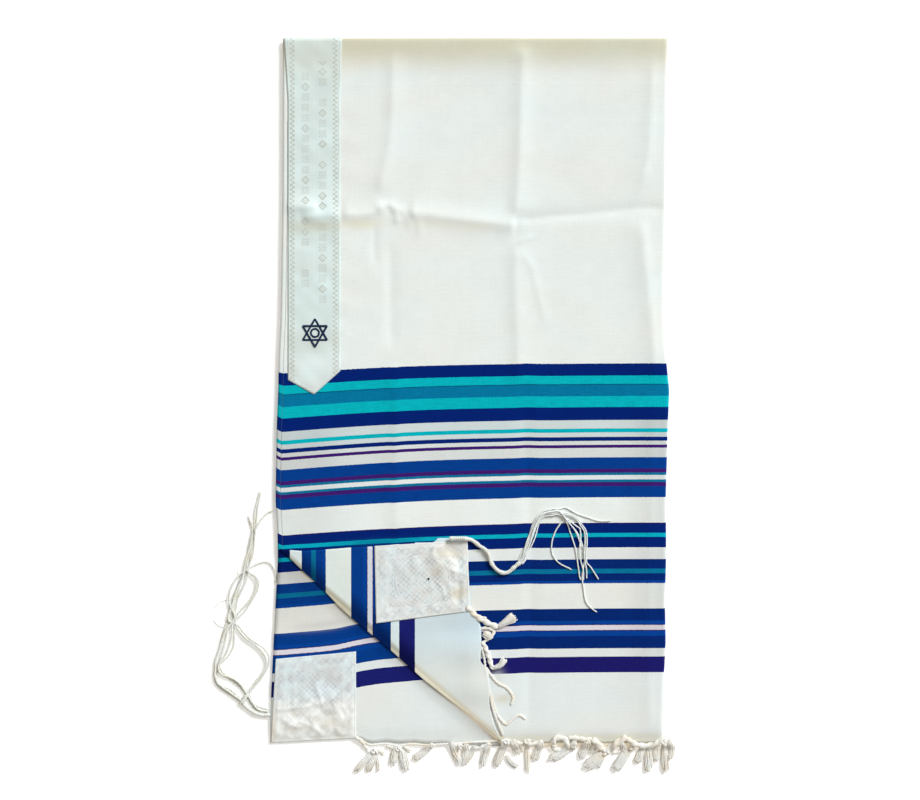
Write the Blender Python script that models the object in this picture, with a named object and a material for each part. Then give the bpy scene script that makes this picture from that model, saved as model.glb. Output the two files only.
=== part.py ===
"""A wool prayer shawl, folded in half at its neck line and again across its width, laid flat.

The lower left corner of the top layer is turned back, so the layer under it shows there. The origin
is on the surface that the shawl lies on, +Y points to the neck fold and +Z is up. All in metres.
"""

import math
from collections import namedtuple

import bmesh
import bpy
from mathutils import Vector

# The cut of the cloth, and how it lies once folded in four.
CUT_LENGTH = 1.80
CUT_WIDTH = 0.98
NECK_Y = 0.473
HEM_Y = NECK_Y - CUT_LENGTH / 2

# Walls, gaps and the heights of the layers' middle surfaces.
CLOTH = 0.0010
SEAM_GAP = 0.0003
HIDDEN_HEIGHT = 0.0037
UNDER_Z = 0.0045
FRONT_Z = 0.0065
NECK_ROLL = 0.0010
SIDE_ROLL = 0.0029
FOLD_ROLL = 0.0015
ROLL_STEPS = 6

# Where the cloth's left selvedge and right fold lie, going down from the neck fold.
Edge = namedtuple("Edge", "down left right")
OUTLINE = (
    Edge(0.000, -0.2375, 0.2535),
    Edge(0.205, -0.2380, 0.2515),
    Edge(0.310, -0.2395, 0.2490),
    Edge(0.360, -0.2405, 0.2490),
    Edge(0.410, -0.2430, 0.2520),
    Edge(0.450, -0.2435, 0.2560),
    Edge(0.500, -0.2455, 0.2540),
    Edge(0.590, -0.2470, 0.2515),
    Edge(0.630, -0.2445, 0.2520),
    Edge(0.665, -0.2440, 0.2520),
    Edge(0.720, -0.2470, 0.2505),
    Edge(0.770, -0.2495, 0.2515),
    Edge(0.820, -0.2520, 0.2490),
    Edge(0.870, -0.2540, 0.2480),
    Edge(0.900, -0.2540, 0.2480),
)
BELOW_INSET = 0.0015
HIDDEN_INSET = 0.0030
LAYER_STEP = 0.0020
EDGE_SOFTNESS = 0.0005

# The packing creases: one across, which wanders, and three down the cloth.
Crease = namedtuple("Crease", "x down")
CROSS_CREASE = (
    Crease(-0.236, 0.225),
    Crease(-0.160, 0.222),
    Crease(-0.103, 0.213),
    Crease(-0.024, 0.226),
    Crease(0.060, 0.241),
    Crease(0.110, 0.227),
    Crease(0.167, 0.222),
    Crease(0.218, 0.217),
    Crease(0.254, 0.217),
)
CROSS_CREASE_DOWN = 0.225
CROSS_CREASE_HEIGHT = 0.0024
CROSS_CREASE_REACH = 0.011
LONG_CREASES_X = (-0.097, 0.069, 0.234)
LONG_CREASE_HEIGHT = 0.0011
LONG_CREASE_REACH = 0.009

# The turned corner. Its fold swallows some cloth, most at the middle, and its corner droops.
FOLD_START = Vector((-0.2408, -0.1813))
FOLD_END = Vector((0.0442, -0.4257))
FLAT_CORNER = Vector((-0.2540, HEM_Y))
FOLD_BOW = 0.006
FOLD_BOW_REACH = 0.020
FOLD_SWALLOWS = 0.018
FOLD_SWALLOWS_OVER = 0.008
FLAP_SKEW = 0.09
CORNER_DROOPS = 0.008
CORNER_SLIDES = 0.004
FLAP_LIFT = 0.0026
FLAP_SETTLES_OVER = 0.030
PUCKER_HEIGHT = 0.0020
PUCKER_PLACE = Vector((-0.035, -0.200))
PUCKER_REACH = 0.050

# What is sewn on.
BAND_MARGIN = 0.005
BAND_INNER_LINE = -0.225
BAND_RIGHT = -0.1635
BAND_TIP_X = -0.198
BAND_ENDS_DOWN = (0.437, 0.455, 0.425)
PATCH_MARGIN = 0.0020
PATCH_WIDTH = 0.102
TURNED_PATCH_LENGTH = 0.120
UNDER_PATCH_LENGTH = 0.108
PATCH_TILT = 0.06
UNDER_HEM_RISE = 0.0055

# Knotted fringe: plain solids of its reach, going along a hem.
Reach = namedtuple("Reach", "x out")
FRONT_FRINGE = (
    Reach(0.0460, 0.030),
    Reach(0.0720, 0.043),
    Reach(0.1100, 0.030),
    Reach(0.1500, 0.040),
    Reach(0.2470, 0.044),
)
UNDER_FRINGE = (
    Reach(-0.144, 0.030),
    Reach(-0.118, 0.046),
    Reach(-0.080, 0.043),
    Reach(0.010, 0.037),
    Reach(0.045, 0.034),
)
TURNED_FRINGE = (
    Reach(-0.158, 0.062),
    Reach(-0.130, 0.062),
    Reach(-0.110, 0.032),
    Reach(-0.060, 0.028),
    Reach(0.0100, 0.036),
)
FRINGE_FALL = 0.35
FRINGE_AT_TIP = 0.0026
TURNED_FRINGE_HEIGHT = 0.0026

# Corner tassels: the routes that the wound cords and the loose threads lie on, as (x, y).
WINDING = 0.0055
THREAD = 0.0020
LEFT_ROUTES = {
    "tassel_left_winding": (WINDING, (
        (-0.2542, -0.3888), (-0.2615, -0.3900), (-0.2700, -0.3885), (-0.2775, -0.3830),
        (-0.2830, -0.3755), (-0.2868, -0.3671),
    )),
    "tassel_left_main": (0.0065, (
        (-0.2875, -0.3655), (-0.2925, -0.3595), (-0.3000, -0.3545), (-0.3075, -0.3505),
        (-0.3155, -0.3465), (-0.3210, -0.3410), (-0.3230, -0.3325), (-0.3215, -0.3225),
        (-0.3180, -0.3095), (-0.3135, -0.2970), (-0.3090, -0.2830), (-0.3050, -0.2685),
        (-0.3020, -0.2545), (-0.2985, -0.2420), (-0.2945, -0.2290), (-0.2890, -0.2150),
        (-0.2840, -0.2000), (-0.2795, -0.1845), (-0.2765, -0.1690), (-0.2750, -0.1550),
    )),
    "tassel_left_lower": (0.0040, (
        (-0.2869, -0.3756), (-0.2900, -0.3792), (-0.2960, -0.3745), (-0.3040, -0.3670),
        (-0.3130, -0.3600), (-0.3205, -0.3555), (-0.3270, -0.3480),
    )),
    "tassel_left_inner": (0.0050, (
        (-0.2834, -0.3643), (-0.2775, -0.3570), (-0.2705, -0.3480), (-0.2630, -0.3375),
        (-0.2575, -0.3285), (-0.2560, -0.3200), (-0.2605, -0.3110), (-0.2695, -0.3040),
        (-0.2795, -0.2970), (-0.2870, -0.2890), (-0.2915, -0.2790), (-0.2925, -0.2692),
    )),
    "tassel_left_loop": (0.0040, (
        (-0.2920, -0.2675), (-0.2890, -0.2600), (-0.2840, -0.2520), (-0.2770, -0.2430),
        (-0.2715, -0.2330), (-0.2700, -0.2230), (-0.2725, -0.2155), (-0.2775, -0.2115),
    )),
    "tassel_left_side": (THREAD, (
        (-0.3075, -0.2617), (-0.3103, -0.2520), (-0.3095, -0.2445), (-0.3055, -0.2330),
        (-0.3010, -0.2200), (-0.2965, -0.2085),
    )),
    "tassel_left_arc": (THREAD, (
        (-0.2811, -0.2036), (-0.2730, -0.1990), (-0.2645, -0.1960), (-0.2560, -0.1980),
        (-0.2505, -0.2050), (-0.2475, -0.2150), (-0.2475, -0.2230),
    )),
    "tassel_left_tip_long": (THREAD, (
        (-0.2742, -0.1544), (-0.2745, -0.1400), (-0.2730, -0.1255), (-0.2700, -0.1155),
        (-0.2670, -0.1065),
    )),
    "tassel_left_tip_left": (THREAD, (
        (-0.2772, -0.1541), (-0.2800, -0.1425), (-0.2820, -0.1370),
    )),
    "tassel_left_tip_right": (THREAD, (
        (-0.2712, -0.1563), (-0.2645, -0.1430), (-0.2565, -0.1345), (-0.2495, -0.1300),
    )),
}
RIGHT_ROUTES = {
    "tassel_right_winding": (WINDING, (
        (-0.0405, -0.1670), (-0.0255, -0.1655), (-0.0115, -0.1650), (0.0005, -0.1665),
        (0.0070, -0.1700), (0.0140, -0.1755), (0.0210, -0.1800), (0.0255, -0.1870),
        (0.0280, -0.1955), (0.0325, -0.2025), (0.0385, -0.2075), (0.0445, -0.2095),
        (0.0510, -0.2080), (0.0585, -0.2015), (0.0655, -0.1960),
    )),
    "tassel_right_main": (0.0055, (
        (0.0680, -0.1935), (0.0730, -0.1820), (0.0765, -0.1715), (0.0805, -0.1600),
        (0.0845, -0.1495), (0.0895, -0.1400), (0.0970, -0.1345), (0.1060, -0.1330),
        (0.1160, -0.1330),
    )),
    "tassel_right_fan": (0.0060, (
        (0.1205, -0.1350), (0.1300, -0.1415), (0.1370, -0.1500), (0.1425, -0.1600),
        (0.1450, -0.1730), (0.1460, -0.1885), (0.1455, -0.2025),
    )),
    "tassel_right_far": (THREAD, (
        (0.1220, -0.1305), (0.1300, -0.1330), (0.1380, -0.1365), (0.1470, -0.1410),
        (0.1570, -0.1430), (0.1685, -0.1440), (0.1815, -0.1430),
    )),
    "tassel_right_hook": (THREAD, (
        (0.1235, -0.1430), (0.1195, -0.1500), (0.1145, -0.1590), (0.1100, -0.1690),
        (0.1095, -0.1795), (0.1125, -0.1895), (0.1185, -0.1980), (0.1250, -0.2030),
        (0.1300, -0.2070),
    )),
    "tassel_right_inner": (THREAD, (
        (0.1275, -0.1470), (0.1315, -0.1575), (0.1340, -0.1690), (0.1360, -0.1795),
        (0.1385, -0.1895), (0.1390, -0.2010), (0.1400, -0.2115), (0.1415, -0.2190),
    )),
    "tassel_right_tip_long": (THREAD, (
        (0.1450, -0.2075), (0.1450, -0.2165), (0.1455, -0.2275), (0.1470, -0.2385),
        (0.1500, -0.2470), (0.1550, -0.2530), (0.1635, -0.2595),
    )),
    "tassel_right_tip_short": (THREAD, (
        (0.1490, -0.2075), (0.1495, -0.2125), (0.1495, -0.2170),
    )),
    "tassel_right_tip_out": (THREAD, (
        (0.1505, -0.2000), (0.1550, -0.2060), (0.1595, -0.2115), (0.1655, -0.2180),
    )),
}
POINT_EVERY = 2.6
CORD_LEAVES_FLAP_X = 0.006
CORD_STEPS_OVER = 0.008
REST_CLEARANCE = 0.0005

# Plain colours of the woven wool, the satin and the yarn.
WOOL = (0.87, 0.87, 0.84, 1.0)
SATIN = (0.82, 0.84, 0.84, 1.0)
YARN = (0.84, 0.83, 0.79, 1.0)

# Grids.
ACROSS_STEP = 0.030
DOWN_STEP = 0.032
PATCH_STEP = 0.018
COARSE_STEP = 0.045
RING_STEP = 0.060
CURVE_SAMPLES = 12
WELD = 0.00025
NORMAL_STEP = 0.0002
FLAT_TOP = NECK_Y - NECK_ROLL - CLOTH / 2
PANEL_LEFT = -0.2490
PANEL_RIGHT = PANEL_LEFT + CUT_WIDTH / 2 + 0.0040


def clear_scene():
    for obj in list(bpy.data.objects):
        bpy.data.objects.remove(obj, do_unlink=True)


def material(name, colour, roughness):
    made = bpy.data.materials.new(name)
    made.use_nodes = True
    shader = made.node_tree.nodes["Principled BSDF"]
    shader.inputs["Base Color"].default_value = colour
    shader.inputs["Roughness"].default_value = roughness
    shader.inputs["Metallic"].default_value = 0.0
    return made


def read_table(rows, at, key, value):
    """The value column at one place of the key column, on straight runs between the rows."""
    if at <= getattr(rows[0], key):
        return getattr(rows[0], value)
    for first, second in zip(rows, rows[1:]):
        low, high = getattr(first, key), getattr(second, key)
        if at <= high:
            share = (at - low) / (high - low)
            return getattr(first, value) * (1 - share) + getattr(second, value) * share
    return getattr(rows[-1], value)


def left_edge(y):
    return read_table(OUTLINE, NECK_Y - y, "down", "left")


def roll_x(y):
    """Where the flat cloth ends and the fold on its right side starts to roll down."""
    return read_table(OUTLINE, NECK_Y - y, "down", "right") - SIDE_ROLL - CLOTH / 2


def tent(distance, reach):
    """A crease's cross-section: 1 on its line, falling to 0 in a slack curve."""
    share = min(abs(distance) / reach, 1.0)
    return (1 - share) ** 1.5


def front_height(x, y):
    """The top layer's middle surface above the surface it all lies on."""
    across = y - (NECK_Y - read_table(CROSS_CREASE, x, "x", "down"))
    height = CROSS_CREASE_HEIGHT * tent(across, CROSS_CREASE_REACH)
    clear_of_flap = min(max((y - FOLD_START.y) / 0.05, 0.0), 1.0) if x < 0 else 1.0
    for line in LONG_CREASES_X:
        height += LONG_CREASE_HEIGHT * tent(x - line, LONG_CREASE_REACH) * clear_of_flap
    return FRONT_Z + height


def pucker(x, y):
    """The soft swelling of the turned part beside its patch."""
    distance = (Vector((x, y)) - PUCKER_PLACE).length
    share = max(1 - (distance / PUCKER_REACH) ** 2, 0.0)
    return PUCKER_HEIGHT * share ** 2


FOLD_WAY = (FOLD_END - FOLD_START).normalized()
FOLD_OUT = Vector((FOLD_WAY.y, -FOLD_WAY.x))
FOLD_LENGTH = (FOLD_END - FOLD_START).length


def beyond_fold(place):
    """How far a flat place lies past the fold line, towards the corner."""
    return (place - FOLD_START).dot(FOLD_OUT)


def along_fold(place):
    return (place - FOLD_START).dot(FOLD_WAY)


def turned_place(place):
    """Where a flat place past the fold comes to lie once turned back, seen from above."""
    beyond = beyond_fold(place)
    settled = beyond - math.pi * FOLD_ROLL
    folded = place - FOLD_OUT * (beyond + settled) + FOLD_WAY * settled * FLAP_SKEW
    middle = math.sin(math.pi * min(max(along_fold(place) / FOLD_LENGTH, 0.0), 1.0))
    swallowed = FOLD_SWALLOWS * middle * (1 - math.exp(-settled / FOLD_SWALLOWS_OVER))
    at_corner = (beyond / beyond_fold(FLAT_CORNER)) ** 4
    folded = folded + FOLD_OUT * (swallowed + CORNER_DROOPS * at_corner)
    return folded + FOLD_WAY * CORNER_SLIDES * at_corner


def bowed(place, beyond, along):
    """The fold line bows out a little between its ends, on both of its sides."""
    share = min(max(along / FOLD_LENGTH, 0.0), 1.0)
    bow = FOLD_BOW * math.sin(math.pi * share) * math.exp(-(beyond / FOLD_BOW_REACH) ** 2)
    return place + FOLD_OUT * bow


def front_middle(x, y):
    """The top layer's middle surface at a place (x, y) of the unrolled, unturned cloth."""
    place = Vector((x, y))
    beyond = beyond_fold(place)
    if beyond > math.pi * FOLD_ROLL:
        settled = beyond - math.pi * FOLD_ROLL
        flat = bowed(turned_place(place), settled, along_fold(place))
        share = math.exp(-settled / FLAP_SETTLES_OVER)
        lift = 2 * FOLD_ROLL * share + FLAP_LIFT * (1 - share)
        return Vector((flat.x, flat.y, front_height(flat.x, flat.y) + lift + pucker(*flat)))
    if beyond > 0:
        turn = beyond / FOLD_ROLL
        flat = place - FOLD_OUT * (beyond - FOLD_ROLL * math.sin(turn))
        flat = bowed(flat, 0.0, along_fold(place))
        return Vector((flat.x, flat.y, FRONT_Z + FOLD_ROLL * (1 - math.cos(turn))))
    flat = bowed(place, beyond, along_fold(place))
    over_neck = max(y - FLAT_TOP, 0.0) / NECK_ROLL
    depth = NECK_ROLL * (1 - math.cos(over_neck))
    y_rolled = min(flat.y, FLAT_TOP) + NECK_ROLL * math.sin(over_neck)
    edge = roll_x(min(y, NECK_Y))
    over_side = max(x - edge, 0.0) / SIDE_ROLL
    height = front_height(min(x, edge), y) - FRONT_Z
    fade = math.cos(min(over_side, math.pi / 2))
    radius = SIDE_ROLL - depth
    x_rolled = min(flat.x, edge) + radius * math.sin(over_side)
    z = FRONT_Z - SIDE_ROLL + radius * math.cos(over_side) + height * fade
    return Vector((x_rolled, y_rolled, z))


def moved_out(surface, x, y, out):
    """A surface's point at (x, y), moved along its normal there."""
    along_x = surface(x + NORMAL_STEP, y) - surface(x - NORMAL_STEP, y)
    along_y = surface(x, y + NORMAL_STEP) - surface(x, y - NORMAL_STEP)
    normal = along_x.cross(along_y).normalized()
    return surface(x, y) + normal * out


def under_hem(x):
    """The hem of the layer below, which rises a little between its corner and the turned fold."""
    share = (x - FLAT_CORNER.x) / (FOLD_END.x - FLAT_CORNER.x)
    return HEM_Y + UNDER_HEM_RISE * math.sin(math.pi * min(share, 1.0))


def under_middle(x, y):
    """The middle surface of the layer below."""
    return Vector((x, y, UNDER_Z))


def stations(start, end, step, extra=()):
    """Even steps from start to end, with the extra places put in and crowding ones taken out."""
    count = max(round((end - start) / step), 1)
    even = [start + (end - start) * k / count for k in range(count + 1)]
    kept = [e for e in even[1:-1] if all(abs(e - x) > step * 0.3 for x in extra)]
    inside = [x for x in extra if start + 1e-6 < x < end - 1e-6]
    return sorted([start, end] + kept + inside)


def long_crease_stations():
    """The x of each long crease's line and of both its feet."""
    sides = (-LONG_CREASE_REACH, 0.0, LONG_CREASE_REACH)
    return [line + side for line in LONG_CREASES_X for side in sides]


def cross_rows():
    """Rows down the cloth. Those at the cross crease follow it: each row is (down, share followed)."""
    rows = [(CROSS_CREASE_DOWN + side, 1.0) for side in (-CROSS_CREASE_REACH, 0.0, CROSS_CREASE_REACH)]
    patch_start = FLAT_TOP - (HEM_Y + TURNED_PATCH_LENGTH)
    body = stations(0.0, patch_start, DOWN_STEP)
    at_patch = stations(patch_start, FLAT_TOP - HEM_Y, PATCH_STEP)[1:]
    for down in body + at_patch:
        beyond = abs(down - CROSS_CREASE_DOWN) - CROSS_CREASE_REACH
        if beyond > DOWN_STEP * 0.4:
            rows.append((down, max(1 - beyond / 0.10, 0.0)))
    return sorted(rows)


def row_y(x, down, follows):
    """A row's place at x, with its share of the cross crease's wandering."""
    wander = read_table(CROSS_CREASE, x, "x", "down") - CROSS_CREASE_DOWN
    return FLAT_TOP - down - wander * follows


def column_lines():
    """The x of the top layer's columns, closer together at the corner patch and the long creases."""
    at_patch = stations(PANEL_LEFT, PANEL_LEFT + PATCH_WIDTH, PATCH_STEP)
    body = stations(at_patch[-1], PANEL_RIGHT, ACROSS_STEP, long_crease_stations())
    return at_patch[1:] + body[1:-1]


def grid(places):
    """A bmesh of quads on rows of (x, y) places, lying flat."""
    mesh = bmesh.new()
    rows = [[mesh.verts.new((x, y, 0.0)) for x, y in row] for row in places]
    for upper, lower in zip(rows, rows[1:]):
        for k in range(len(upper) - 1):
            mesh.faces.new((lower[k], lower[k + 1], upper[k + 1], upper[k]))
    return mesh


def cut(mesh, point, way_out, clear=False):
    """Cuts the flat mesh along the line through point, across way_out."""
    bmesh.ops.bisect_plane(
        mesh,
        geom=mesh.verts[:] + mesh.edges[:] + mesh.faces[:],
        dist=1e-6,
        plane_co=(point.x, point.y, 0.0),
        plane_no=(way_out.x, way_out.y, 0.0),
        clear_outer=clear,
    )


def cloth_wall(name, mesh, surface, out, thickness, finish):
    """Lays a flat mesh on a surface, moved out from it, and gives it its thickness."""
    bmesh.ops.remove_doubles(mesh, verts=mesh.verts[:], dist=WELD)
    bmesh.ops.triangulate(mesh, faces=mesh.faces[:])
    for vertex in mesh.verts:
        vertex.co = moved_out(surface, vertex.co.x, vertex.co.y, out)
    data = bpy.data.meshes.new(name)
    mesh.to_mesh(data)
    mesh.free()
    data.materials.append(finish)
    obj = bpy.data.objects.new(name, data)
    bpy.context.scene.collection.objects.link(obj)
    wall = obj.modifiers.new("Wall", "SOLIDIFY")
    wall.thickness = thickness
    wall.offset = 0.0
    wall.use_even_offset = False
    wall.use_quality_normals = True
    return obj


def solid_object(name, mesh, finish):
    bmesh.ops.recalc_face_normals(mesh, faces=mesh.faces[:])
    data = bpy.data.meshes.new(name)
    mesh.to_mesh(data)
    mesh.free()
    data.materials.append(finish)
    obj = bpy.data.objects.new(name, data)
    bpy.context.scene.collection.objects.link(obj)
    return obj


def front_places():
    """Rows of places over the whole top layer, with its neck roll and its side roll unrolled."""
    lines = column_lines()
    side = [math.pi * SIDE_ROLL * (k + 1) / ROLL_STEPS for k in range(ROLL_STEPS)]
    rows = []
    for k in range(ROLL_STEPS, 0, -1):
        y = FLAT_TOP + math.pi * NECK_ROLL * k / ROLL_STEPS
        xs = [left_edge(NECK_Y)] + lines + [roll_x(NECK_Y)]
        rows.append([(x, y) for x in xs + [xs[-1] + s for s in side]])
    for down, follows in cross_rows():
        y_mean = FLAT_TOP - down
        xs = [left_edge(y_mean)] + lines + [roll_x(y_mean)]
        row = [(x, row_y(x, down, follows)) for x in xs]
        row += [(xs[-1] + s, row[-1][1]) for s in side]
        rows.append(row)
    return rows


def make_front_panel(wool):
    mesh = grid(front_places())
    for k in range(ROLL_STEPS + 1):
        past = math.pi * FOLD_ROLL * k / ROLL_STEPS
        cut(mesh, FOLD_START + FOLD_OUT * past, FOLD_OUT)
    return cloth_wall("front_panel", mesh, front_middle, 0.0, CLOTH, wool)


def make_under_panel(wool):
    """The layer below. Above the turned corner its selvedge lies a little inside the top layer's."""
    rows = []
    for y in reversed(stations(HEM_Y, FLAT_TOP - SEAM_GAP, COARSE_STEP)):
        above_fold = min(max((y - FOLD_START.y) / 0.02, 0.0), 1.0)
        left = left_edge(y) + BELOW_INSET * above_fold
        right = roll_x(y) - SEAM_GAP
        at_hem = max(1 - (y - HEM_Y) / 0.1, 0.0)
        xs = stations(left, right, COARSE_STEP)
        rows.append([(x, y + (under_hem(x) - HEM_Y) * at_hem) for x in xs])
    return cloth_wall("under_panel", grid(rows), under_middle, 0.0, CLOTH, wool)


def ring_outline(inset):
    """The two lowest layers' outline, drawn in by an inset, all round."""
    top = NECK_Y - inset
    bottom = HEM_Y + UNDER_HEM_RISE + inset
    downs = stations(bottom, top, RING_STEP)
    left = [(left_edge(y) + inset, y) for y in downs]
    right = [(min(roll_x(y), PANEL_RIGHT) - SEAM_GAP - inset, y) for y in reversed(downs)]
    return left + right


def make_hidden_layers(wool):
    """Two layers as one solid: rings drawn in and out, a step between the layers."""
    middle = HIDDEN_HEIGHT / 2
    soft = EDGE_SOFTNESS
    lowest = HIDDEN_INSET - LAYER_STEP
    rings = (
        (0.0, lowest + soft),
        (soft, lowest),
        (middle - soft, lowest),
        (middle, lowest + soft),
        (middle, HIDDEN_INSET + soft),
        (middle + soft, HIDDEN_INSET),
        (HIDDEN_HEIGHT - soft, HIDDEN_INSET),
        (HIDDEN_HEIGHT, HIDDEN_INSET + soft),
    )
    mesh = bmesh.new()
    loops = []
    for height, inset in rings:
        loops.append([mesh.verts.new((x, y, height)) for x, y in ring_outline(inset)])
    for lower, upper in zip(loops, loops[1:]):
        for k in range(len(lower)):
            after = (k + 1) % len(lower)
            mesh.faces.new((lower[k], lower[after], upper[after], upper[k]))
    mesh.faces.new(loops[0])
    mesh.faces.new(loops[-1])
    return solid_object("hidden_layers", mesh, wool)


def make_neckband(satin):
    """The satin band along the selvedge, over the neck fold, with a pointed end."""
    lines = [x for x in column_lines() if BAND_INNER_LINE < x < BAND_RIGHT]
    rows = []
    for k in range(ROLL_STEPS // 2, 0, -1):
        y = FLAT_TOP + math.pi * NECK_ROLL * k / ROLL_STEPS
        rows.append([(x, y) for x in [left_edge(NECK_Y) + BAND_MARGIN] + lines + [BAND_RIGHT]])
    for down, follows in cross_rows():
        if down < max(BAND_ENDS_DOWN) + DOWN_STEP:
            xs = [left_edge(FLAT_TOP - down) + BAND_MARGIN] + lines + [BAND_RIGHT]
            rows.append([(x, row_y(x, down, follows)) for x in xs])
    mesh = grid(rows)
    left, middle, right = BAND_ENDS_DOWN
    tip = Vector((BAND_TIP_X, NECK_Y - middle))
    for x, down, side in ((left_edge(NECK_Y - left) + BAND_MARGIN, left, 1), (BAND_RIGHT, right, -1)):
        way = (tip - Vector((x, NECK_Y - down))) * side
        cut(mesh, tip, Vector((way.y, -way.x)), clear=True)
    out = CLOTH + SEAM_GAP
    return cloth_wall("neckband", mesh, front_middle, out, CLOTH, satin)


def patch_places(length, hem, tilt):
    """Rows of places over a corner patch, sewn on the flat cloth's lower left corner."""
    rows = []
    for y in reversed(stations(HEM_Y, HEM_Y + length, PATCH_STEP)):
        left = left_edge(y) + PATCH_MARGIN
        right = left + PATCH_WIDTH
        up = max(y - HEM_Y, PATCH_MARGIN)
        inner = [x for x in column_lines() if left + 0.004 < x < right - 0.004]
        row = []
        for x in [left] + inner + [right]:
            row.append((x, hem(x) + up + tilt * (x - left) * up / length))
        rows.append(row)
    return rows


def make_corner_patches(satin):
    """Both lie on the cloth's wrong side, which faces up on the turned corner and on the layer below."""
    out = CLOTH + SEAM_GAP
    turned = grid(patch_places(TURNED_PATCH_LENGTH, lambda x: HEM_Y, 0.0))
    cloth_wall("corner_patch_turned", turned, front_middle, -out, CLOTH, satin)
    under = grid(patch_places(UNDER_PATCH_LENGTH, under_hem, PATCH_TILT))
    cloth_wall("corner_patch_under", under, under_middle, out, CLOTH, satin)


def close_sections(mesh, sections):
    """Bridges the sections in turn and caps the first and the last."""
    for first, second in zip(sections, sections[1:]):
        for k in range(len(first)):
            after = (k + 1) % len(first)
            mesh.faces.new((first[k], first[after], second[after], second[k]))
    mesh.faces.new(sections[0])
    mesh.faces.new(sections[-1])


def fringe_block(name, table, hem, height, finish):
    """Fringe that falls off a hem to the surface: thick at the hem, thin at the tips."""
    mesh = bmesh.new()
    sections = []
    for row in table:
        near = hem(row.x) - SEAM_GAP
        far = near - row.out
        corners = (
            (near, 0.0),
            (near, height),
            (near - row.out * FRINGE_FALL, FRINGE_AT_TIP + CLOTH),
            (far, FRINGE_AT_TIP),
            (far, 0.0),
        )
        sections.append([mesh.verts.new((row.x, y, z)) for y, z in corners])
    close_sections(mesh, sections)
    return solid_object(name, mesh, finish)


def make_turned_fringe(yarn):
    """The fringe on the turned corner's hem, which lies on the top layer."""
    mesh = bmesh.new()
    sections = []
    low = FRONT_Z + LONG_CREASE_HEIGHT + CLOTH / 2 + SEAM_GAP
    high = low + TURNED_FRINGE_HEIGHT
    for row in TURNED_FRINGE:
        hem = front_middle(row.x, HEM_Y)
        near = hem.x + CLOTH
        far = near + row.out
        corners = ((near, low), (near, high), (far, high - CLOTH), (far, low))
        sections.append([mesh.verts.new((x, hem.y, z)) for x, z in corners])
    close_sections(mesh, sections)
    return solid_object("fringe_turned", mesh, yarn)


def smooth_route(points, spacing):
    """Evenly spaced points on a smooth curve through hand-placed ones."""
    ends = [points[0] * 2 - points[1]] + points + [points[-1] * 2 - points[-2]]
    dense = []
    for a, b, c, d in zip(ends, ends[1:], ends[2:], ends[3:]):
        for k in range(CURVE_SAMPLES):
            t = k / CURVE_SAMPLES
            dense.append(
                (2 * b + (c - a) * t + (2 * a - 5 * b + 4 * c - d) * t ** 2
                 + (3 * b - a - 3 * c + d) * t ** 3) / 2
            )
    dense.append(points[-1])
    lengths = [(q - p).length for p, q in zip(dense, dense[1:])]
    count = max(round(sum(lengths) / spacing), 2)
    step = sum(lengths) / count
    found, walked, wanted = [dense[0]], 0.0, step
    for p, q, length in zip(dense, dense[1:], lengths):
        while walked + length >= wanted - 1e-9 and len(found) < count:
            found.append(p.lerp(q, (wanted - walked) / length))
            wanted += step
        walked += length
    return found + [dense[-1]]


def cord_tube(name, diameter, points, finish):
    curve = bpy.data.curves.new(name, "CURVE")
    curve.dimensions = "3D"
    curve.bevel_depth = diameter / 2
    curve.bevel_resolution = 2
    curve.use_fill_caps = True
    spline = curve.splines.new("POLY")
    spline.points.add(len(points) - 1)
    for place, point in zip(spline.points, points):
        place.co = (point.x, point.y, point.z, 1.0)
    curve.materials.append(finish)
    obj = bpy.data.objects.new(name, curve)
    bpy.context.scene.collection.objects.link(obj)
    return obj


def cloth_top(x, y):
    """The height that a thread lies on: the top layer, or the turned corner and its patch."""
    top = front_height(x, y) + CLOTH / 2
    over_flap = min(max((CORD_LEAVES_FLAP_X - x) / CORD_STEPS_OVER, 0.0), 1.0)
    return top + (FLAP_LIFT + CLOTH + SEAM_GAP * 2) * over_flap


def make_tassels(yarn):
    for name, (diameter, route) in LEFT_ROUTES.items():
        flat = smooth_route([Vector((x, y, 0.0)) for x, y in route], diameter * POINT_EVERY)
        rest = diameter / 2 + SEAM_GAP
        cord_tube(name, diameter, [Vector((p.x, p.y, rest)) for p in flat], yarn)
    for name, (diameter, route) in RIGHT_ROUTES.items():
        flat = smooth_route([Vector((x, y, 0.0)) for x, y in route], diameter * POINT_EVERY)
        rest = diameter / 2 + REST_CLEARANCE
        lying = [Vector((p.x, p.y, cloth_top(p.x, p.y) + rest)) for p in flat]
        cord_tube(name, diameter, lying, yarn)


def main():
    clear_scene()
    wool = material("wool", WOOL, 0.85)
    satin = material("satin", SATIN, 0.45)
    yarn = material("yarn", YARN, 0.80)
    make_hidden_layers(wool)
    make_under_panel(wool)
    make_front_panel(wool)
    make_neckband(satin)
    make_corner_patches(satin)
    fringe_block("fringe_front", FRONT_FRINGE, lambda x: HEM_Y, FRONT_Z, yarn)
    fringe_block("fringe_under", UNDER_FRINGE, under_hem, UNDER_Z, yarn)
    make_turned_fringe(yarn)
    make_tassels(yarn)


main()
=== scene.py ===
import math

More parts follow.
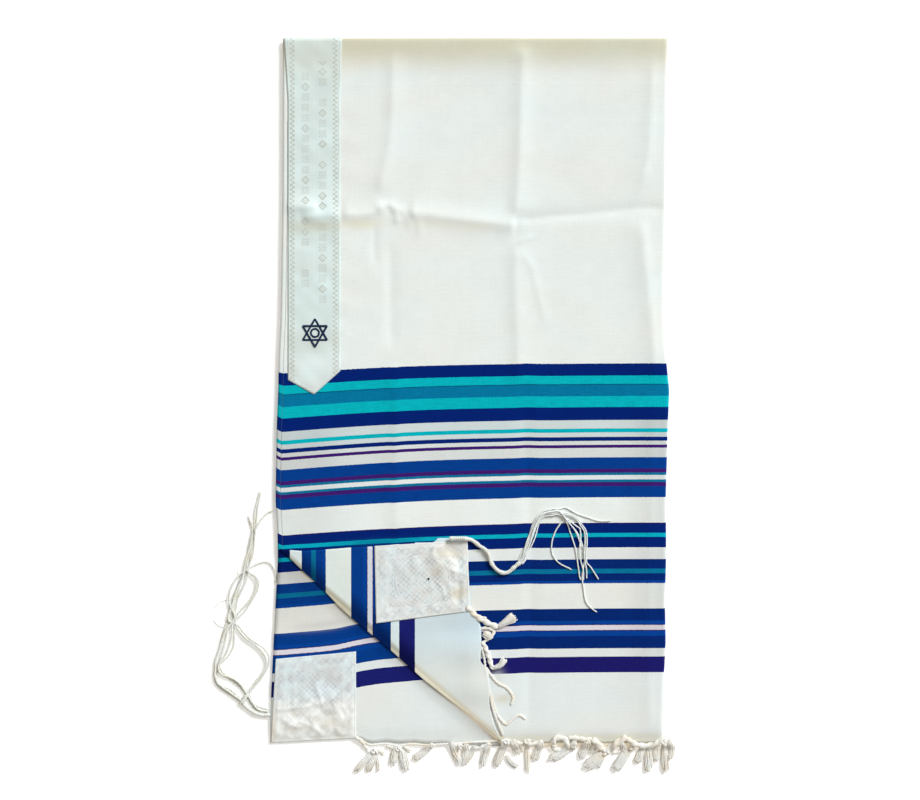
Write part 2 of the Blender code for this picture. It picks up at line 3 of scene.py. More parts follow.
import bmesh
import bpy
import numpy as np
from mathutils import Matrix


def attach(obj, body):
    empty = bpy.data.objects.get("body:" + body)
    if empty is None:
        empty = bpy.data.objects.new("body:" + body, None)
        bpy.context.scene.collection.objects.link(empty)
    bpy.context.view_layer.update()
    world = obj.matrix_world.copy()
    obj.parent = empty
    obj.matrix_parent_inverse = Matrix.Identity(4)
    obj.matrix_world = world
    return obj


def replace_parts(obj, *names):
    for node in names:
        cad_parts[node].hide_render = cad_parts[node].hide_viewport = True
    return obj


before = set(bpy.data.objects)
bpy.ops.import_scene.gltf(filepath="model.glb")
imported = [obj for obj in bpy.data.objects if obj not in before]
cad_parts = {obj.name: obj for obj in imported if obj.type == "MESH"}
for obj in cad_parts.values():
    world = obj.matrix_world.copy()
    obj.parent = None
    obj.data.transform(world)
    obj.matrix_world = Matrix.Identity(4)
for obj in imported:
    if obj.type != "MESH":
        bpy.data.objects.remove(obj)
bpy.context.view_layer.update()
print("frame loaded,", len(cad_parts), "solids")

cameraSet = {
    "lens": 85.0,
    "sensor": 36.0,
    "frame width": 1.17447,   # metres across the view, at the cloth's height
    "centre": (-0.0115, 0.0109),
    "cloth height": 0.0065,
}
lightSet = {
    "key from": (1.0, 1.1, 1.12),   # the way towards the lamp
    "key softness": 0.45,           # how wide the lamp looks, in radians
    "key strength": 3.35,
    "key colour": (0.915, 0.965, 1.0),
    "sky colour": (1.0, 0.94, 0.84),
    "sky strength": 0.4,
    "table colour": (0.97, 0.97, 0.97),
    "table glow": 0.28,             # a lit table keeps the floor pale round the shawl
    "table size": 6.0,
}


def makeCamera():
    data = bpy.data.cameras.new("camera")
    data.lens = cameraSet["lens"]
    data.sensor_width = cameraSet["sensor"]
    camera = bpy.data.objects.new("camera", data)
    distance = cameraSet["frame width"] * data.lens / data.sensor_width
    camera.location = (*cameraSet["centre"], cameraSet["cloth height"] + distance)
    bpy.context.scene.collection.objects.link(camera)
    bpy.context.scene.camera = camera


def makeLight():
    data = bpy.data.lights.new("key", "SUN")
    data.angle = lightSet["key softness"]
    data.energy = lightSet["key strength"]
    data.color = lightSet["key colour"]
    key = bpy.data.objects.new("key", data)
    key.location = lightSet["key from"]
    key.rotation_euler = (-key.location).to_track_quat("-Z", "Y").to_euler()
    bpy.context.scene.collection.objects.link(key)
    sky = bpy.data.worlds.new("sky")
    sky.use_nodes = True
    sky.node_tree.nodes["Background"].inputs["Color"].default_value = (*lightSet["sky colour"], 1)
    sky.node_tree.nodes["Background"].inputs["Strength"].default_value = lightSet["sky strength"]
    bpy.context.scene.world = sky
    bpy.context.scene.view_settings.view_transform = "Standard"


makeCamera()
makeLight()


def put(tree, node, name, value):
    # sets or links an input by its name, or by its number written as at0, at1, at2
    socket = node.inputs[int(name[2:])] if name[:2] == "at" and name[2:].isdigit() else node.inputs[name]
    if isinstance(value, bpy.types.NodeSocket):
        tree.links.new(value, socket)
    else:
        socket.default_value = value


def addNode(tree, kind, settings=None, **inputs):
    node = tree.nodes.new(kind)
    for name, value in (settings or {}).items():
        setattr(node, name, value)
    for name, value in inputs.items():
        put(tree, node, name, value)
    return node


def work(tree, operation, *values):
    node = addNode(tree, "ShaderNodeMath", {"operation": operation})
    for k, value in enumerate(values):
        put(tree, node, f"at{k}", value)
    return node.outputs[0]


def chained(operation):
    def chain(tree, first, *others):
        for value in others:
            first = work(tree, operation, first, value)
        return first
    return chain


plus, minus, times, ratio = (chained(name) for name in ("ADD", "SUBTRACT", "MULTIPLY", "DIVIDE"))
largest, smallest = chained("MAXIMUM"), chained("MINIMUM")


def scaled(tree, value, by, added):
    return work(tree, "MULTIPLY_ADD", value, by, added)


def isNear(tree, value, middle, reach):
    # 1 where a value lies within reach of the middle, 0 elsewhere
    return work(tree, "COMPARE", value, middle, reach)


def blend(tree, share, first, second):
    return addNode(tree, "ShaderNodeMix", {"data_type": "FLOAT"}, at0=share, at2=first, at3=second).outputs[0]


def mixColour(tree, share, first, second, how="MIX"):
    settings = {"data_type": "RGBA", "blend_type": how}
    return addNode(tree, "ShaderNodeMix", settings, at0=share, at6=first, at7=second).outputs[2]


def tinted(tree, share, colour, tint):
    return mixColour(tree, share, colour, tint, "MULTIPLY")


def ramp(tree, value, start, end, atStart, atEnd, kind="SMOOTHSTEP"):
    node = addNode(tree, "ShaderNodeMapRange", {"interpolation_type": kind}, Value=value)
    for label, size in (("From Min", start), ("From Max", end), ("To Min", atStart), ("To Max", atEnd)):
        node.inputs[label].default_value = size
    return node.outputs[0]


def addNoise(tree, place, scale, detail, dimensions="2D"):
    return addNode(tree, "ShaderNodeTexNoise", {"noise_dimensions": dimensions}, Vector=place, Scale=scale,
                   Detail=detail).outputs[0]


def addChance(tree, value):
    # a steady random share for each whole value
    return addNode(tree, "ShaderNodeTexWhiteNoise", {"noise_dimensions": "1D"}, W=value).outputs["Value"]


def grey(tree, value):
    node = addNode(tree, "ShaderNodeCombineColor")
    for k in range(3):
        tree.links.new(value, node.inputs[k])
    return node.outputs[0]


def addBump(tree, shader, height, distance, strength):
    bump = addNode(tree, "ShaderNodeBump", Distance=distance, Strength=strength, Height=height)
    tree.links.new(bump.outputs[0], shader.inputs["Normal"])


def newGroup(name, inputs, outputs):
    # inputs: each label's plain value, or None for a vector; gives back the means to link the outputs
    group = bpy.data.node_groups.new(name, "ShaderNodeTree")
    for label, value in inputs.items():
        kind = "NodeSocketVector" if value is None else "NodeSocketFloat"
        socket = group.interface.new_socket(label, in_out="INPUT", socket_type=kind)
        if value is not None:
            socket.default_value = value
    for label in outputs:
        kind = "NodeSocketColor" if label == "Colour" else "NodeSocketFloat"
        group.interface.new_socket(label, in_out="OUTPUT", socket_type=kind)
    ends = group.nodes.new("NodeGroupOutput").inputs

    def give(**values):
        for label, value in values.items():
            group.links.new(value, ends[label])
        return group

    return group, group.nodes.new("NodeGroupInput").outputs, give


def useGroup(tree, group, **inputs):
    return addNode(tree, "ShaderNodeGroup", {"node_tree": group}, **inputs).outputs


def newMaterial(name, constants):
    material = bpy.data.materials.new(name)
    material.use_nodes = True
    shader = material.node_tree.nodes["Principled BSDF"]
    for label, value in constants.items():
        shader.inputs[label].default_value = value
    return material, material.node_tree, shader


def linear(red, green, blue):
    # a colour as a dyer's chart gives it, 0 to 255, as the shaders want it
    parts = [c / 255 for c in (red, green, blue)]
    return (*[c / 12.92 if c <= 0.04045 else ((c + 0.055) / 1.055) ** 2.4 for c in parts], 1.0)


def placeOnCloth(tree):
    # the place, across and along the cloth, in metres, from the layer that each piece carries
    place = addNode(tree, "ShaderNodeUVMap", {"uv_map": "cloth"}).outputs[0]
    apart = addNode(tree, "ShaderNodeSeparateXYZ", at0=place)
    return place, apart.outputs[0], apart.outputs[1]


def addCloth(mesh, places):
    # the places on the flat cloth, one for each vertex
    vertexOf = np.zeros(len(mesh.loops), np.int32)
    mesh.loops.foreach_get("vertex_index", vertexOf)
    layer = mesh.uv_layers.new(name="cloth")
    layer.data.foreach_set("uv", np.asarray(places, np.float32)[vertexOf].ravel())
    mesh.shade_smooth()


def addPiece(name, mesh, material):
    mesh.materials.append(material)
    piece = bpy.data.objects.new(name, mesh)
    bpy.context.scene.collection.objects.link(piece)
    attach(piece, "root")
    return piece


def makeMesh(name, verts, faces, cloth, material):
    mesh = bpy.data.meshes.new(name)
    mesh.from_pydata(np.asarray(verts).tolist(), [], faces)
    addCloth(mesh, cloth)
    return addPiece(name, mesh, material)


def gridFaces(rows, columns):
    k = np.arange(rows * columns).reshape(rows, columns)
    return np.stack([k[1:, :-1], k[1:, 1:], k[:-1, 1:], k[:-1, :-1]], -1).reshape(-1, 4).tolist()


def addWall(piece, thickness):
    wall = piece.modifiers.new("wall", "SOLIDIFY")
    wall.thickness = thickness
    wall.offset = 0.0
    wall.use_even_offset = False
    wall.use_quality_normals = True


def eased(share):
    # 0 to 1, held at both ends and smooth between them
    share = np.clip(share, 0, 1)
    return share * share * (3 - 2 * share)


def softTable(rows, column, spread):
    # a smooth run through one column of a table, with its corners eased over the spread
    at = np.array([row[0] for row in rows])
    fine = np.linspace(at[0], at[-1], 800)
    raw = np.interp(fine, at, [row[column] for row in rows])
    half = max(int(spread / (fine[1] - fine[0])), 1)
    kernel = np.hanning(2 * half + 3)
    padded = np.concatenate([2 * raw[0] - raw[half + 1:0:-1], raw, 2 * raw[-1] - raw[-2:-half - 3:-1]])
    soft = np.convolve(padded, kernel / kernel.sum(), "valid")
    return lambda place: np.interp(place, fine, soft)


def bell(place, middle, reach):
    return np.exp(-((place - middle) / reach) ** 2)


lay = {
    "neck": 0.473,         # y of the neck fold
    "hem": -0.427,
    "wall": 0.0008,
    "gap": 0.0003,
    "front height": 0.0065,
    "under height": 0.0045,
    "hidden height": 0.0037,
    "neck roll": 0.001,
    "side roll": 0.0029,
    "corner roll": 0.0008,
    "margin": 0.0005,      # the flat part ends this far inside the outline's rolls
    "front lift": 0.0003,  # the top layer stands a little off the one below it
    "hem sinks": 0.0018,   # past the lowest layers the hem comes down towards the table
    "sinks over": 0.02,
    "front sinks": 1.15,   # the top layer's share of that
    "outline": (           # down from the neck fold, then x of the left and of the right edge
        (0.0, -0.2375, 0.2535), (0.205, -0.238, 0.2515), (0.31, -0.2395, 0.249),
        (0.36, -0.2405, 0.249), (0.41, -0.243, 0.252), (0.45, -0.2435, 0.256),
        (0.5, -0.2455, 0.254), (0.59, -0.247, 0.2515), (0.63, -0.2445, 0.252),
        (0.665, -0.244, 0.252), (0.72, -0.247, 0.2505), (0.77, -0.2495, 0.2515),
        (0.82, -0.252, 0.249), (0.87, -0.254, 0.248), (0.9, -0.254, 0.248)),
    "uneven": ((0.00035, 0.16, 5), (0.0001, 0.045, 9)),   # how high, how wide, and a seed
    "neck swelling": (     # x, how high the cloth swells behind the neck fold, how far down
        (-0.26, 0.0006, 0.01), (-0.16, 0.001, 0.014), (-0.1, 0.0028, 0.018), (-0.02, 0.0036, 0.03),
        (0.06, 0.0036, 0.044), (0.075, 0.0026, 0.026), (0.16, 0.0022, 0.022), (0.26, 0.0012, 0.014)),
    "swelling from": 0.004,   # below the neck fold, at its full height down to here
    "swelling power": 1.5,
    "puckers": {"height": 0.0007, "x": -0.156, "reach": 0.014, "every": 0.031, "above": 0.06,
                "over": 0.05, "drawn out": 0.3, "seed": 3},
}
flatTop = lay["neck"] - lay["neck roll"] - lay["margin"]
leftAt, rightAt = (softTable(lay["outline"], column, 0.012) for column in (1, 2))
swellingHeight, swellingReach = (softTable(lay["neck swelling"], column, 0.01) for column in (1, 2))

# Packing creases, pinches and soft swellings: height, reach of the near and the far flank, length of
# the faded ends, and the path. A negative height is a valley. Far is on the left of the way along.
creaseSet = {"flank power": 1.4, "flank fall": 1.6, "blunt end": 0.002}
creases = {
    "band fold upper": (0.0024, 0.01, 0.013, 0.012, (-0.236, 0.257), (-0.215, 0.2575), (-0.19, 0.256)),
    "band fold lower": (0.0026, 0.012, 0.013, 0.015, (-0.215, 0.244), (-0.19, 0.246), (-0.162, 0.248)),
    "across, left": (0.0032, 0.013, 0.016, 0.012, (-0.165, 0.248), (-0.143, 0.2465), (-0.127, 0.2485),
                     (-0.115, 0.253), (-0.105, 0.259)),
    "arch": (0.0022, 0.006, 0.008, 0.01, (-0.118, 0.252), (-0.108, 0.26), (-0.099, 0.259),
             (-0.093, 0.25), (-0.092, 0.234)),
    "second pinch": (0.0012, 0.005, 0.006, 0.012, (-0.099, 0.257), (-0.086, 0.253), (-0.079, 0.243),
                     (-0.077, 0.228)),
    "third pinch": (0.0008, 0.006, 0.007, 0.012, (-0.085, 0.255), (-0.072, 0.251), (-0.064, 0.238),
                    (-0.062, 0.216)),
    "across, middle": (0.0036, 0.014, 0.018, 0.01, (-0.078, 0.25), (-0.05, 0.2465), (-0.02, 0.243),
                       (0.02, 0.2385), (0.061, 0.2335)),
    "across, right": (-0.0018, 0.009, 0.011, 0.015, (0.064, 0.24), (0.097, 0.245), (0.144, 0.248),
                      (0.193, 0.253), (0.218, 0.256), (0.253, 0.255)),
    "first down, above": (0.0022, 0.02, 0.013, 0.03, (-0.115, 0.265), (-0.112, 0.29),
                          (-0.103, 0.328), (-0.0985, 0.37), (-0.0965, 0.46)),
    "first down, below": (-0.0014, 0.014, 0.01, 0.03, (-0.099, 0.07), (-0.1, 0.13), (-0.101, 0.215)),
    "first down, stripes": (0.002, 0.03, 0.017, 0.03, (-0.0925, -0.17), (-0.093, -0.08),
                            (-0.093, 0.01), (-0.096, 0.06)),
    "beside the arch": (-0.001, 0.005, 0.006, 0.015, (-0.119, 0.18), (-0.121, 0.21), (-0.12, 0.238)),
    "middle down, above": (0.003, 0.02, 0.014, 0.02, (0.06, 0.242), (0.062, 0.28), (0.0645, 0.325),
                           (0.0665, 0.39), (0.069, 0.465)),
    "middle down, below": (0.0022, 0.022, 0.013, 0.03, (0.065, 0.02), (0.062, 0.08), (0.059, 0.16),
                           (0.06, 0.22)),
    "middle down, stripes": (-0.0012, 0.018, 0.012, 0.04, (0.075, -0.42), (0.078, -0.25),
                             (0.078, -0.14), (0.072, -0.06), (0.068, 0.02)),
    "pinch beside the middle": (0.0008, 0.008, 0.006, 0.03, (0.1, 0.1), (0.09, 0.14),
                                (0.08, 0.18), (0.062, 0.208)),
    "pinch at the crossing": (0.0012, 0.005, 0.004, 0.008, (0.062, 0.21), (0.072, 0.217),
                              (0.082, 0.219)),
    "right down, above": (0.0018, 0.012, 0.014, 0.04, (0.218, 0.27), (0.23, 0.33), (0.233, 0.4),
                          (0.2345, 0.46)),
    "right down, below": (0.0028, 0.015, 0.02, 0.03, (0.238, 0.03), (0.234, 0.1), (0.228, 0.16),
                          (0.223, 0.21), (0.219, 0.248)),
    "right down, stripes": (0.0012, 0.01, 0.018, 0.04, (0.231, -0.42), (0.23, -0.25),
                            (0.233, -0.1), (0.237, 0.03)),
}


def creaseHeight(x, y, top, near, far, fade, *path):
    path = np.array(path)
    nearest = np.full(np.shape(x), 1e9)
    height = np.zeros(np.shape(x))
    steps = np.linalg.norm(np.diff(path, axis=0), axis=1)
    total = steps.sum()
    walked = 0.0
    for a, b, step in zip(path[:-1], path[1:], steps):
        way = (b - a) / step
        along = np.clip((x - a[0]) * way[0] + (y - a[1]) * way[1], 0, step)
        dx, dy = x - a[0] - way[0] * along, y - a[1] - way[1] * along
        off = np.hypot(dx, dy)
        reach = np.where(way[0] * dy - way[1] * dx > 0, far, near)
        share = np.exp(-(off / reach) ** creaseSet["flank power"] * creaseSet["flank fall"])
        fromEnd = np.minimum(walked + along, total - walked - along)
        closer = off < nearest
        nearest = np.where(closer, off, nearest)
        height = np.where(closer, top * share * eased((fromEnd + creaseSet["blunt end"]) / fade), height)
        walked += step
    return height


def softNoise(x, y, size, seed):
    # slow unevenness of a hand-folded cloth: a few crossed waves with their own seed
    draw = np.random.default_rng(seed)
    waves, total = 6, 0.0
    for k in range(waves):
        turn, phase, stretch = draw.uniform(0, math.pi), draw.uniform(0, 6.3), draw.uniform(0.7, 1.6)
        along = x * math.cos(turn) + y * math.sin(turn)
        total = total + np.sin(along * 2 * math.pi / (size * stretch) + phase)
    return total / waves


def hemSink(y):
    return lay["hem sinks"] * eased(1 - (y - lay["hem"]) / lay["sinks over"])


def frontHeight(x, y):
    x, y = np.asarray(x, float), np.asarray(y, float)
    height = lay["front height"] + lay["front lift"]
    for high, size, seed in lay["uneven"]:
        height = height + high * softNoise(x, y, size, seed)
    for crease in creases.values():
        height = height + creaseHeight(x, y, *crease)
    below = np.clip(flatTop - lay["swelling from"] - y, 0, None)
    height = height + swellingHeight(x) * np.exp(-(below / swellingReach(x)) ** lay["swelling power"])
    pucker = lay["puckers"]
    atBand = bell(x, pucker["x"], pucker["reach"]) * np.clip((y - pucker["above"]) / pucker["over"], 0, 1)
    wave = softNoise(x * pucker["drawn out"], y, pucker["every"], pucker["seed"])
    return height + pucker["height"] * atBand * wave - hemSink(y) * lay["front sinks"]


def sideEdge(y):
    # x where the top layer's flat part ends and its side roll begins
    return rightAt(lay["neck"] - np.minimum(y, lay["neck"])) - lay["side roll"] - lay["margin"]


# The turned corner: a flat triangle, and where its three sides come to lie.
corner = {
    "start": (-0.2442, -0.1784),
    "end": (0.0442, -0.4257),
    "flat tip": (-0.254, -0.427),
    "placed tip": (-0.0019, -0.1672),
    "lift": 0.003,
    "settles over": 0.03,
    "bow reach": 0.02,
    "swells from": 0.012,
    # a share of the way along each side, and how far it stands out there
    "fold": (          # going down
        (0.0, 0.0), (0.04, -0.002), (0.1, -0.0003), (0.21, 0.001), (0.27, 0.0038), (0.31, 0.0051),
        (0.43, 0.0046), (0.51, 0.0038), (0.56, 0.0041), (0.66, 0.005), (0.74, 0.0036), (0.82, 0.0016),
        (0.9, 0.0006), (1.0, 0.0)),
    "selvedge": (      # going from the fold to the tip
        (0.0, 0.0), (0.12, -0.0036), (0.25, -0.0033), (0.37, -0.0024), (0.51, -0.0024), (0.6, -0.0015),
        (0.73, -0.0003), (0.825, -0.0011), (0.84, 0.004), (0.92, 0.0031), (1.0, 0.0)),
    "hem": (           # going from the tip to the fold
        (0.0, 0.0), (0.104, -0.0042), (0.218, -0.0078), (0.353, -0.012), (0.4, -0.0045),
        (0.43, -0.0022), (0.521, -0.006), (0.6, -0.0115), (0.65, -0.0025), (0.74, -0.005),
        (0.827, -0.0092), (0.93, -0.007), (1.0, 0.0)),
    "swellings": {     # height, place and size of its swellings and hollows
        "slack above the patch": (0.0022, (-0.04, -0.19), (0.012, 0.022)),
        "hollow by the tip": (-0.0014, (-0.02, -0.18), (0.013, 0.01)),
        "middle swelling": (0.0016, (-0.026, -0.212), (0.012, 0.016)),
        "low hollow": (-0.0012, (-0.015, -0.237), (0.011, 0.013)),
        "edge swelling": (0.001, (-0.002, -0.215), (0.006, 0.02)),
        "plain cloth, low": (0.0016, (0.004, -0.33), (0.016, 0.045)),
        "plain cloth, hollow": (-0.0012, (-0.03, -0.285), (0.026, 0.014)),
    },
    "uneven": (0.0004, 0.05, 21),
    "ripple": {"height": 0.0007, "every": 0.052, "from": -0.045, "over": 0.04},
}
foldBow = softTable(corner["fold"], 1, 0.03)
selvedgeBow = softTable(corner["selvedge"], 1, 0.006)
hemBow = softTable(corner["hem"], 1, 0.02)
start, end = np.array(corner["start"]), np.array(corner["end"])
foldLength = np.linalg.norm(end - start)
foldWay = (end - start) / foldLength
foldOut = np.array([foldWay[1], -foldWay[0]])
rollLength = math.pi * lay["corner roll"]


def pastFold(x, y):
    return (x - start[0]) * foldOut[0] + (y - start[1]) * foldOut[1]


def cornerShares(x, y):
    # shares of the fold's start, the fold's end and the corner's tip, for a flat place past the roll
    tip = np.array(corner["flat tip"]) - foldOut * rollLength
    system = np.array([[start[0], end[0], tip[0]], [start[1], end[1], tip[1]], [1, 1, 1]])
    flat = np.stack([x - foldOut[0] * rollLength, y - foldOut[1] * rollLength, np.ones_like(x)])
    return np.tensordot(np.linalg.inv(system), flat, 1)


def shareOf(part, other):
    return np.clip(part / np.clip(part + other, 1e-6, None), 0, 1)


def turnedPlace(x, y):
    a, b, c = cornerShares(x, y)
    tip = corner["placed tip"]
    px = a * start[0] + b * end[0] + c * tip[0]
    py = a * start[1] + b * end[1] + c * tip[1]
    out = foldBow(shareOf(b, a)) * np.clip(1 - c, 0, 1) ** 4
    px, py = px + foldOut[0] * out, py + foldOut[1] * out
    py = py + selvedgeBow(shareOf(c, a)) * np.clip(1 - b, 0, 1) ** 8
    return px + hemBow(shareOf(b, c)) * np.clip(1 - a, 0, 1) ** 10, py


def flapSwelling(px, py):
    high, size, seed = corner["uneven"]
    height = high * softNoise(px, py, size, seed)
    for top, (x, y), (wide, tall) in corner["swellings"].values():
        height = height + top * np.exp(-((px - x) / wide) ** 2 - ((py - y) / tall) ** 2)
    ripple = corner["ripple"]
    wave = np.sin(py * 2 * math.pi / ripple["every"] + 1.0)
    return height + ripple["height"] * wave * np.clip((px - ripple["from"]) / ripple["over"], 0, 1)


def frontPoint(x, y):
    # the top layer's middle surface at a flat place; past the neck, the side and the fold it rolls
    x, y = np.broadcast_arrays(np.asarray(x, float), np.asarray(y, float))
    beyond = pastFold(x, y)
    along = ((x - start[0]) * foldWay[0] + (y - start[1]) * foldWay[1]) / foldLength
    bow = foldBow(np.clip(along, 0, 1)) * bell(np.minimum(beyond, 0), 0, corner["bow reach"])
    # not turned: neck roll and side roll
    fx, fy = x + foldOut[0] * bow, y + foldOut[1] * bow
    overNeck = np.clip(y - flatTop, 0, None) / lay["neck roll"]
    edge = sideEdge(y)
    overSide = np.clip(x - edge, 0, None) / lay["side roll"]
    height = frontHeight(np.minimum(fx, edge), np.minimum(fy, flatTop)) - lay["front height"]
    fade = np.cos(np.minimum(overSide, math.pi / 2)) * np.cos(np.minimum(overNeck, math.pi / 2))
    radius = lay["side roll"] - lay["neck roll"] * (1 - np.cos(overNeck))
    flat = np.stack([
        np.minimum(fx, edge) + radius * np.sin(overSide),
        np.minimum(fy, flatTop) + lay["neck roll"] * np.sin(overNeck),
        lay["front height"] - lay["side roll"] + radius * np.cos(overSide) + height * fade,
    ], -1)
    # on the roll of the turned corner
    turn = np.clip(beyond / lay["corner roll"], 0, math.pi)
    back = bow - beyond + lay["corner roll"] * np.sin(turn)
    atFold = lay["front height"] + lay["front lift"]
    height = atFold + lay["corner roll"] * (1 - np.cos(turn))
    rolled = np.stack([x + foldOut[0] * back, y + foldOut[1] * back, height], -1)
    # turned back
    px, py = turnedPlace(x, y)
    settled = np.clip(beyond - rollLength, 0, None)
    share = np.exp(-settled / corner["settles over"])
    lift = 2 * lay["corner roll"] * share + corner["lift"] * (1 - share)
    swelling = flapSwelling(px, py) * (1 - np.exp(-settled / corner["swells from"]))
    turned = np.stack([px, py, atFold * share + frontHeight(px, py) * (1 - share) + lift + swelling], -1)
    isTurned, isRolled = (beyond > rollLength)[..., None], (beyond > 0)[..., None]
    return np.where(isTurned, turned, np.where(isRolled, rolled, flat))


def liftOff(surface, x, y, out):
    # a surface's points at flat places, moved along its normal
    step = 0.0004
    alongX = surface(x + step, y) - surface(x - step, y)
    alongY = surface(x, y + step) - surface(x, y - step)
    normal = np.cross(alongX, alongY)
    return surface(x, y) + normal / np.linalg.norm(normal, axis=-1, keepdims=True) * out


# How the straight threads of the stripes lie once the cloth is folded.
stripeSet = {
    "sag": ((0.0, 0.004), (0.415, 0.0128), (0.535, 0.0172), (0.62, 0.0168), (0.9, 0.016)),   # down, sag
    "sag from": 0.2505,
    "sag over": 0.489,
    "sag power": 2.4,
    "dips": ((0.0004, -0.094, 0.007), (-0.0006, 0.074, 0.012)),   # depth, x and reach, by the creases
    "upper": {"until": 0.62, "over": 0.06, "rise": (0.0003, 0.06, 0.05), "dip": (0.0008, -0.075, 0.1)},
    "turned offset": 0.8784,
    "turned over": 0.004,
    "strip between": (0.4, 0.06),   # from how far down, and over what length
    "hem strip": 0.0066,     # the left edge, where the threads rise
    "strip rise": 0.004,
    "sag below": (           # x, sag of the layer below
        (-0.26, 0.033), (-0.241, 0.0326), (-0.191, 0.0284), (-0.1685, 0.0258), (-0.139, 0.0191),
        (-0.116, 0.0153), (-0.0766, 0.0117), (-0.056, 0.0097), (0.0, 0.006), (0.26, 0.0)),
}
frontSag = softTable(stripeSet["sag"], 1, 0.03)
underSag = softTable(stripeSet["sag below"], 1, 0.01)


def frontCloth(x, y):
    # (distance in from the selvedge, distance down the cloth from the neck fold)
    x, y = np.broadcast_arrays(np.asarray(x, float), np.asarray(y, float))
    down = lay["neck"] - y
    away = np.clip(stripeSet["sag from"] - x, 0, None) / stripeSet["sag over"]
    sag = frontSag(down) * away ** stripeSet["sag power"]
    sag = sag + sum(depth * bell(x, middle, reach) for depth, middle, reach in stripeSet["dips"])
    upper = stripeSet["upper"]
    (rise, riseFrom, riseOver), (dip, dipAt, dipReach) = upper["rise"], upper["dip"]
    change = rise * np.clip((x - riseFrom) / riseOver, 0, 1) - dip * bell(x, dipAt, dipReach)
    sag = sag + np.clip((upper["until"] - down) / upper["over"], 0, 1) * change
    inside = x - leftAt(down)
    lifted = np.clip(1 - inside / stripeSet["hem strip"], 0, 1) * stripeSet["strip rise"]
    stripFrom, stripOver = stripeSet["strip between"]
    flat = down - sag + lifted * np.clip((down - stripFrom) / stripOver, 0, 1)
    turned = turnedPlace(x, y)[0] + stripeSet["turned offset"]
    share = np.clip(pastFold(x, y) / stripeSet["turned over"] + 0.5, 0, 1)
    return np.stack([inside, flat * (1 - share) + turned * share], -1)


underSet = {"dip from": -0.14, "dip over": 0.012, "dip": 0.0058, "scallop": 0.0008, "every": 0.036,
            "bow": 0.0055, "bow from": -0.254, "bow over": 0.2982,
            "swell": 0.0016, "swell from": 0.003, "swell reach": 0.012, "uneven": (0.0004, 0.07, 31),
            "scallop from": -0.1251, "shows below": 0.02, "shows over": 0.04, "shows until": 0.05,
            "fades over": 0.08, "swell ends": 0.02, "swell down to": -0.42}


def underHem(x):
    share = np.clip((x - underSet["bow from"]) / underSet["bow over"], 0, 1)
    waves = (x - underSet["scallop from"]) / underSet["every"]
    scallop = underSet["scallop"] * np.cos(waves * 2 * math.pi)
    down = (underSet["dip"] + scallop) * eased((x - underSet["dip from"]) / underSet["dip over"])
    return lay["hem"] + underSet["bow"] * np.sin(math.pi * share) - down


def underPoint(x, y):
    x, y = np.broadcast_arrays(np.asarray(x, float), np.asarray(y, float))
    shown = np.clip((start[1] + underSet["shows below"] - y) / underSet["shows over"], 0, 1)
    shown = shown * np.clip((underSet["shows until"] - x) / underSet["fades over"], 0, 1)
    away = pastFold(x, y)
    past = np.clip(away - underSet["swell from"], 0, None)
    swell = underSet["swell"] * bell(past, 0, underSet["swell reach"])
    swell = swell * np.clip(1 + away / underSet["swell ends"], 0, 1)
    swell = swell * np.clip((y - underSet["swell down to"]) / underSet["swell ends"], 0, 1)
    high, size, seed = underSet["uneven"]
    height = lay["under height"] + high * softNoise(x, y, size, seed) * shown + swell
    return np.stack([x, y, height - hemSink(y - underHem(x) + lay["hem"])], -1)


def underCloth(x, y):
    x, y = np.broadcast_arrays(np.asarray(x, float), np.asarray(y, float))
    down = lay["neck"] - y
    return np.stack([x - leftAt(down), down - underSag(x)], -1)


def newParts():
    return {"verts": [], "faces": [], "cloth": [], "count": 0}


def walkAlong(points):
    return np.concatenate([[0], np.cumsum(np.linalg.norm(np.diff(points, axis=0), axis=1))])


def smoothRoute(points, spacing):
    # evenly spaced points on a smooth curve through given ones
    points = np.asarray(points, float)
    ends = np.vstack([2 * points[0] - points[1], points, 2 * points[-1] - points[-2]])
    t = np.linspace(0, 1, 12, endpoint=False)[:, None]
    pieces = []
    for a, b, c, d in zip(ends, ends[1:], ends[2:], ends[3:]):
        pieces.append((2 * b + (c - a) * t + (2 * a - 5 * b + 4 * c - d) * t ** 2
                       + (3 * b - a - 3 * c + d) * t ** 3) / 2)
    dense = np.vstack(pieces + [points[-1:]])
    walked = walkAlong(dense)
    at = np.linspace(0, walked[-1], max(int(walked[-1] / spacing), 2) + 1)
    return np.stack([np.interp(at, walked, dense[:, k]) for k in range(dense.shape[1])], -1)


def lengthOf(points):
    return float(np.linalg.norm(np.diff(points, axis=0), axis=1).sum())


def wayOf(points):
    way = np.gradient(points, axis=0)
    return way / np.linalg.norm(way, axis=1, keepdims=True)


